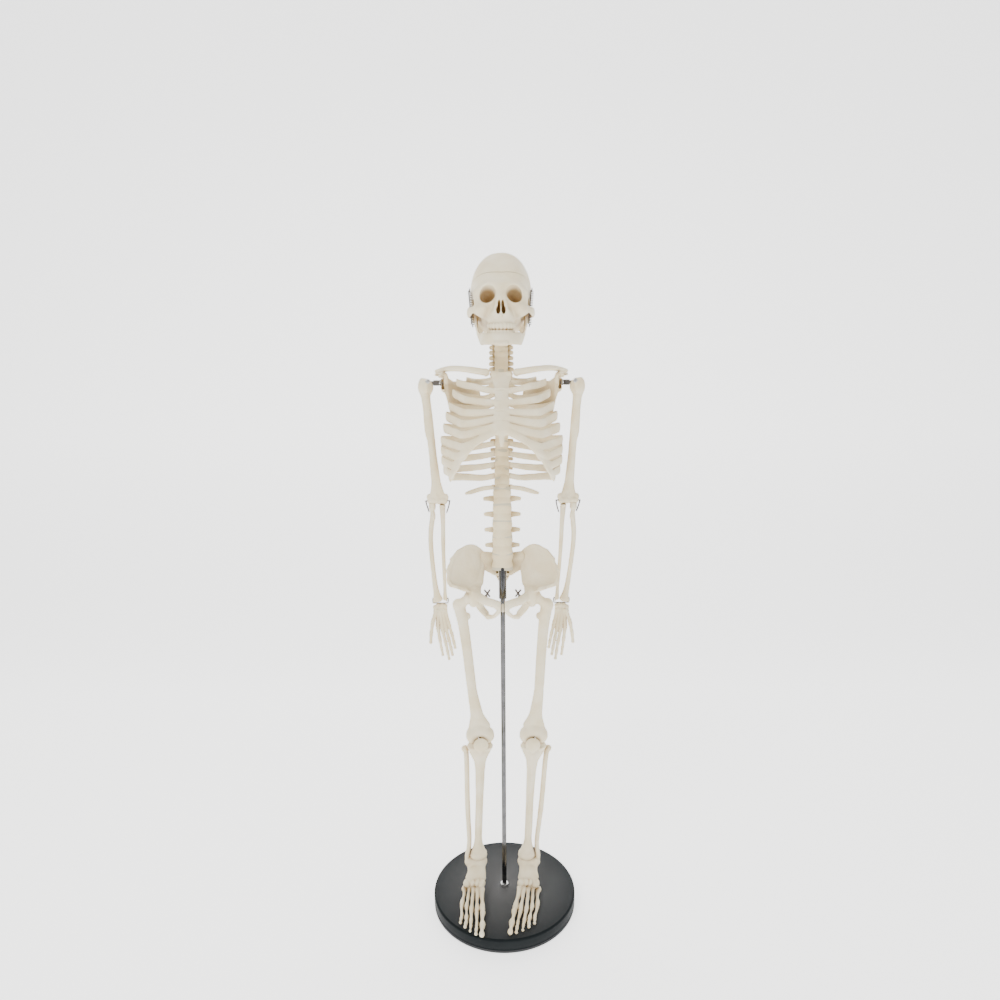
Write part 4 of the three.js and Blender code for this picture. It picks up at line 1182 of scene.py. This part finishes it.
def shin_bones():
    clay = block("tibia_left", 5, 5)
    x, y, z = KNEE
    ax, ay, az = ANKLE
    clay.stroke([(x, y, z - 12.6), (x, y + 0.6, z - 20), (x - 0.6, y + 1, z - 32), (x - 1, y + 1, z - 44)],
                [(17.4, 9.4), (14.8, 9), (9, 7.6), 6.6], BACK, 0)
    clay.both(clay.egg, (8.8, y + 0.6, z - 13.4), (8.6, 10, 3.4), 2, about=x)
    clay.stroke([(x - 1, y + 1, z - 40), (x - 1, -5, 160), (x - 0.8, -1, 98), (x - 1.2, 0, 80),
                 (ax - 3.6, ay, az + 11)],
                [6.8, (5.4, 5.8), (5.2, 5.4), (9, 6.6), (12, 8.6)], BACK, 2)
    clay.egg((ax - 3.6, ay - 3.4, az + 11.6), (10.4, 5.6, 6), 2.5)
    clay.stroke([(x - 1, y - 5.4, z - 25), (x - 1, y - 4.6, z - 40), (x - 1.4, -9.4, 160),
                 (x - 2.6, -4.6, 100)],
                [(3, 2.4), (1.6, 2.6), (1.2, 2.2), (1, 1.4)], blend=3)
    clay.stroke([(ax - 12, ay, az + 14), (ax - 13.2, ay, az + 6), (ax - 13.4, ay, az - 1.6)],
                [(3.6, 5), (2.3, 4.8), (1.8, 3.3)], blend=2)
    clay.stroke([(x, y + 0.4, z - 14), (x, y, z)], [(1.8, 4)], BACK, 0.6)
    clay.egg((x, y, z - 0.4), (1.8, 4.2, 4.2), 0.3)
    kneecap_room(clay)
    clay.stroke([(ax - 12, ay, az), (ax + 12, ay, az)], [8.6], BACK, 0.4, carve=True)
    bore(clay, KNEE, 22)
    bore(clay, ANKLE, 18)
    clay.roughen(0.16, 10, 15)
    clay_pair("shin_bone", clay, "shin", "bone", lean_leg, "tibia")
    calf_bones()


def calf_bones():
    clay = block("fibula_left", 5, 5)
    ax, ay, az = ANKLE
    x = KNEE[0]
    clay.stroke([(57.6, -1, 237), (55, -1, 224), (52.2, -1, 150), (48.8, 1.6, 92), (51.2, 0.4, 69),
                 (51.7, 0, 56.6)],
                [(4, 3.8), (3.5, 3.3), (3.7, 3.3), (3.3, 3), (3.4, 4.2), (2.2, 3.4)], blend=0)
    clay.egg((57.4, -1, 236.4), (4.6, 4.4, 4.4), 2)
    clay.egg((x, KNEE[1], KNEE[2] - 14), (18.3, 12, 3.2), 0.3, carve=True)
    clay.egg((x, KNEE[1], KNEE[2] - 20), (15.6, 10.4, 9), 0.3, carve=True)
    bore(clay, ANKLE, 18)
    clay.roughen(0.12, 8, 16)
    clay_pair("calf_bone", clay, "shin", "bone", lean_leg, "fibula")


# Each toe's points from the ankle to its tip, and how thick its bones are.
TOES = [
    ([(29.6, -12, 37), (23, -50, 29.4), (20, -78, 25.5), (18, -98, 25.4)], 4.1),
    ([(34.4, -12, 38), (30.4, -52, 28.6), (27, -80, 24.5), (26, -96.4, 24.6)], 3.1),
    ([(39.4, -11, 37), (38, -51, 27.6), (35, -77, 24.2), (34, -91.4, 24.2)], 3),
    ([(45, -8, 34), (45.2, -48, 26.4), (42, -72, 24), (41.5, -85.4, 24)], 3),
    ([(51, -4, 29), (52.6, -42, 25), (49.5, -64, 23.9), (49, -78.4, 23.9)], 3.1),
]


def feet():
    clay = block("foot_left", 8, 8, FINE)
    x, y, z = ANKLE
    clay.stroke([(x - 8.4, y, z), (x, y, z), (x + 8.4, y, z)], [7.8, 7.2, 7.8], BACK, 0)
    clay.stroke([(x - 1, y - 2, z - 4), (x - 1.4, y - 11, z - 10), (x - 1, y - 15, z - 16)],
                [(13, 7), (13.4, 7), (14.4, 6)], BACK, 2.5)
    clay.stroke([(x + 6, y - 9, z - 14), (x - 7, y - 16, z - 12)], [(1.2, 1.6)], UP, 1.5, carve=True)
    clay.stroke([(x - 1, y + 4, z - 6), (x - 1, y + 10, z - 18), (x - 1, y + 19, z - 27)],
                [(7.8, 7.6), (7, 8), (6.4, 7.2)], blend=3)
    clay.stroke([(x + 2, y + 8, z - 24), (x + 5, y - 8, z - 23), (x + 6, y - 17, z - 27)],
                [(6, 7), (6.4, 7), (6.6, 6)], UP, 2)
    clay.egg((x, y - 13, z - 21), (13.4, 11, 8), 2.5)
    tarsals = [(-7, -15, -15, 7, 4.4, 5.6), (-10.6, -22.4, -19.6, 5.2, 5.2, 5.6),
               (-4, -22.8, -17.6, 3.8, 5, 5.2),
               (2, -22, -18.4, 3.8, 5, 5.2), (9.6, -18.4, -22.4, 6, 7, 5.8)]
    for dx, dy, dz, *radii in tarsals:
        clay.egg((x + dx, y + dy, z + dz), tuple(radii), 0.6)
    for i, (line, thick) in enumerate(TOES):
        splits = (0.14, 0.56, 0.82, 1.0) if i == 0 else (0.14, 0.58, 0.8, 0.9, 1.0)
        digit(clay, line, splits, thick, 0.75)
    clay.egg((x + 15.4, y - 18, z - 32), (3, 4.8, 3.4), 1.5)
    clay.keep(2, 20.7, above=True)
    bore(clay, ANKLE, 18)
    clay.roughen(0.5, 5, 17)
    clay_pair("foot_bones", clay, "sole", "bone", turn_foot, "foot")


# ---- Fittings

def pin(centre, axis, radius, low, high, dome=0.0):
    """A round pin from low to high along its axis, its ends domed by a little."""
    edge = min(radius * 0.35, 0.5)
    profile = [(0, low - dome), (radius * 0.55, low - dome * 0.7), (radius - edge, low), (radius, low + edge),
               (radius, high - edge), (radius - edge, high), (radius * 0.55, high + dome * 0.7),
               (0, high + dome)]
    return turned(profile, centre, axis, 24)


def slotted_head(centre, radius, thick):
    """A screw head facing the front (-Y), with a raised edge around a sunken slot bar."""
    profile = [(0, thick), (radius, thick), (radius, 0.5), (radius * 0.8, 0.1), (radius * 0.62, 0),
               (radius * 0.58, 0.5),
               (0, 0.5)]
    return turned(profile, centre, BACK, 24)


def plate(outline, low, high, chamfer=0.25):
    """A flat plate in X and Z between two Y levels, its edges broken."""
    outline = np.array(outline, float)
    middle = outline.mean(axis=0)
    inner = middle + (outline - middle) * (1 - chamfer / np.linalg.norm(outline - middle, axis=1).mean())
    levels = [(inner, low), (outline, low + chamfer), (outline, high - chamfer), (inner, high)]
    rows = [np.column_stack([shape[:, 0], np.full(len(shape), y), shape[:, 1]]) for shape, y in levels]
    faces = row_faces(len(rows), len(outline), False)
    last = (len(rows) - 1) * len(outline)
    faces.append(list(range(len(outline)))[::-1])
    faces.append([last + i for i in range(len(outline))])
    return np.vstack(rows), faces


def shoulder_fittings():
    x, y, z = SHOULDER
    metal_pair("shoulder_rivet", [pin((x, y, z), BACK, 1, -5.2, 5.2, 0.3)], "steel", "torso", stay,
               "shoulder_pin")
    eye = turned([(1.5, -1.5), (3, -1.5), (3, 1.5), (1.5, 1.5)], (x, y, z), BACK, 32)
    link = plate([(x + 2, z + 2.9), (x + 2, z - 2.9), (x + 8.4, z - 2.9), (x + 8.4, z + 2.9)], y - 1.5,
                 y + 1.5)
    stud = pin((x, y, z), SIDE, 2.2, 8, 17)
    metal_pair("shoulder_strap", [eye, link, stud], "dark", "shoulder", stay, "shoulder_link")
    head = (x + 14.5, 3, z)
    metal_pair("arm_screw", [slotted_head(head, 2.6, 2), pin(head, BACK, 0.35, 0.2, 0.6),
                             pin(head, BACK, 1, 1.8, 6.4)],
               "steel", "upper_arm", stay, "humerus_screw")


def arm_wires():
    x, y, z = ELBOW
    path = [(x - 11.4, y + 1, z - 15), (x - 14.2, y, z - 7), (x - 15.3, y, z - 1.2), (x - 14.4, y, z),
            (x, y, z), (x + 14.2, y, z), (x + 14.9, y, z - 1.4), (x + 13.4, y, z - 7), (x + 11, y, z - 14)]
    metal_pair("elbow_clip", [tube(path, 0.8, 12, 7)], "dark", "forearm", lean_arm, "elbow_wire")
    x, y, z = WRIST
    path = [(x - 8.8, y + 0.2, z + 5), (x - 10, y, z + 6.6), (x - 10.8, y, z + 4.6), (x - 10.2, y, z + 0.8),
            (x - 8, y, z), (x + 8, y, z), (x + 9.9, y, z + 0.8), (x + 10.4, y, z + 4.6),
            (x + 9.6, y, z + 6.6), (x + 8.6, y + 0.2, z + 5)]
    metal_pair("wrist_clip", [tube(path, 0.62, 12, 7)], "dark", "forearm", lean_arm, "wrist_wire")


def hip_fittings():
    x, y, z = HIP
    metal_pair("hip_pin", [pin((x, y, z), SIDE, 1.5, -19, 8, 0.1)], "dark", "torso", stay, "hip_bolt")
    cross = x - 18.6
    legs = [tube([(cross - 3.6, y - 1.4, z + 4.5 - end * 4.6), (cross, y, z + 4 + end * 0.5),
                  (cross + 3.4, y - 1.4, z + 4.5 + end * 4.4)], 1.15, 12, 6) for end in (1, -1)]
    metal_pair("split_pin", legs, "dark", "torso", stay, "hip_cotter")


def leg_pins():
    metal_pair("knee_rivet", [pin(tuple(KNEE), SIDE, 1, -19.2, 19.2, 0.3)], "steel", "thigh", lean_leg,
               "knee_pin")
    metal_pair("ankle_rivet", [pin(tuple(ANKLE), SIDE, 1, -15.2, 15.2, 0.3)], "steel", "shin", lean_leg,
               "ankle_pin")


# ---- Stand

def arc(centre, radius, start, end, steps):
    """Points round part of a circle in a profile. The angles are in degrees."""
    angles = np.radians(np.linspace(start, end, steps))
    return [(centre[0] + radius * math.cos(a), centre[1] + radius * math.sin(a)) for a in angles]


def base_disc():
    _, high = node_box("base_disc")
    edge, top = high[0], high[2]
    profile = [(3.5, top)] + arc((edge - 2.6, top - 2.6), 2.6, 90, 0, 8)
    profile += [(edge, 6.6), (edge - 0.5, 6), (edge - 0.5, 5.4), (edge, 4.8), (edge, 1.2), (edge - 1.2, 0),
                (edge - 6, 0)]
    profile += [(edge - 6, top - 4), (14, top - 4), (14, 6), (3.5, 6)]
    metal_piece("foot_disc", [turned(profile, sides=160)], "black", "stand", "base_disc")


def hex_nut(low, high, size, bore):
    """A hexagonal nut whose corners are turned off at both faces. size is half the width across flats."""
    sides = 48
    angles = (np.arange(sides) * 360 / sides) % 60 - 30
    flats = size / np.cos(np.radians(angles))
    soft = np.minimum(flats, size * 1.03)
    return turned([(bore, low), (soft, low), (flats, low + 0.5), (flats, high - 0.5), (soft, high),
                   (bore, high)],
                  sides=sides)


def rod_and_nuts():
    for node, name in (("base_nut", "upper_nut"), ("lock_nut", "lower_nut")):
        low, high = node_box(node)
        size = high[1] if high[1] < high[0] else high[0]
        metal_piece(name, [hex_nut(low[2], high[2], size, 3.4)], "steel", "stand", node)
    low, high = node_box("stand_rod")
    rod = [(0, low[2]), (2.8, low[2]), (3.2, low[2] + 0.5), (3.2, high[2] - 0.8), (2.4, high[2]),
           (0, high[2])]
    metal_piece("chrome_rod", [turned(rod)], "chrome", "stand", "stand_rod")
    low, high = node_box("rod_sleeve")
    bottom, top = low[2], high[2]
    sleeve = [(3.5, bottom + 0.4), (3.9, bottom), (4.6, bottom), (5, bottom + 0.5), (5, top - 0.8),
              (4.2, top), (0, top),
              (0, top - 4), (3.5, top - 4)]
    metal_piece("chrome_sleeve", [turned(sleeve)], "chrome", "sleeve", "rod_sleeve")


# ---- Floor, light and camera

def paper_material():
    """Matt white paper with a little light of its own, so that it stays paler than the bones."""
    material, _, _, shader = new_material("paper")
    shader.inputs["Base Color"].default_value = (0.9, 0.9, 0.895, 1)
    shader.inputs["Roughness"].default_value = 0.9
    shader.inputs["Emission Color"].default_value = (1, 1, 1, 1)
    shader.inputs["Emission Strength"].default_value = 1.6
    return material


SWEEP = 900


def backdrop():
    """A pale floor that sweeps up into a wall behind the object."""
    angles = np.linspace(0.1, math.pi / 2, 14)
    sweep = [(SWEEP + SWEEP * math.sin(a), SWEEP - SWEEP * math.cos(a)) for a in angles]
    profile = [(-3000, 0), (SWEEP, 0), *sweep, (2 * SWEEP, 4 * SWEEP)]
    points = [(x, y, z) for x in (-3500, 3500) for y, z in profile]
    count = len(profile)
    faces = [(i, i + count, i + count + 1, i + 1) for i in range(count - 1)]
    mesh_piece("backdrop", points, faces, paper_material())


def area_light(name, place_at, target, size, power, colour=(1, 1, 1)):
    lamp = bpy.data.lights.new(name, "AREA")
    lamp.shape = "DISK"
    lamp.size = size
    lamp.energy = power
    lamp.color = colour
    holder = bpy.data.objects.new(name, lamp)
    holder.location = place_at
    holder.rotation_euler = (Vector(target) - Vector(place_at)).to_track_quat("-Z", "Y").to_euler()
    bpy.context.scene.collection.objects.link(holder)


def studio():
    backdrop()
    area_light("key", (-1.1, -1.5, 1.9), (0, 0, 0.5), 1.0, 38, (1, 0.985, 0.96))
    area_light("fill", (1.6, -1.3, 1.0), (0, 0, 0.45), 1.4, 12)
    area_light("top", (0, 0.2, 2.4), (0, 0, 0.5), 1.2, 16)
    world = bpy.data.worlds.new("room")
    world.use_nodes = True
    world.node_tree.nodes["Background"].inputs["Color"].default_value = (1, 1, 1, 1)
    world.node_tree.nodes["Background"].inputs["Strength"].default_value = 0.62
    bpy.context.scene.world = world


def camera():
    lens = bpy.data.cameras.new("camera")
    lens.lens = 18.76
    lens.sensor_width = 36
    lens.shift_x = -0.0022
    lens.shift_y = 0.1216
    holder = bpy.data.objects.new("camera", lens)
    holder.location = (0, -0.6705, 0.5562)
    holder.rotation_euler = (math.radians(78.14), math.radians(0.36), 0)
    bpy.context.scene.collection.objects.link(holder)
    bpy.context.scene.camera = holder


skull()
jaw_bone()
jaw_springs()
spine()
rib_cage()
collar_bones()
shoulder_blades()
upper_arms()
inner_forearm_bone()
outer_forearm_bone()
hands()
hip_bones()
sacral_bone()
front_disc()
thigh_bones()
kneecaps()
shin_bones()
feet()
shoulder_fittings()
arm_wires()
hip_fittings()
leg_pins()
base_disc()
rod_and_nuts()
studio()
camera()
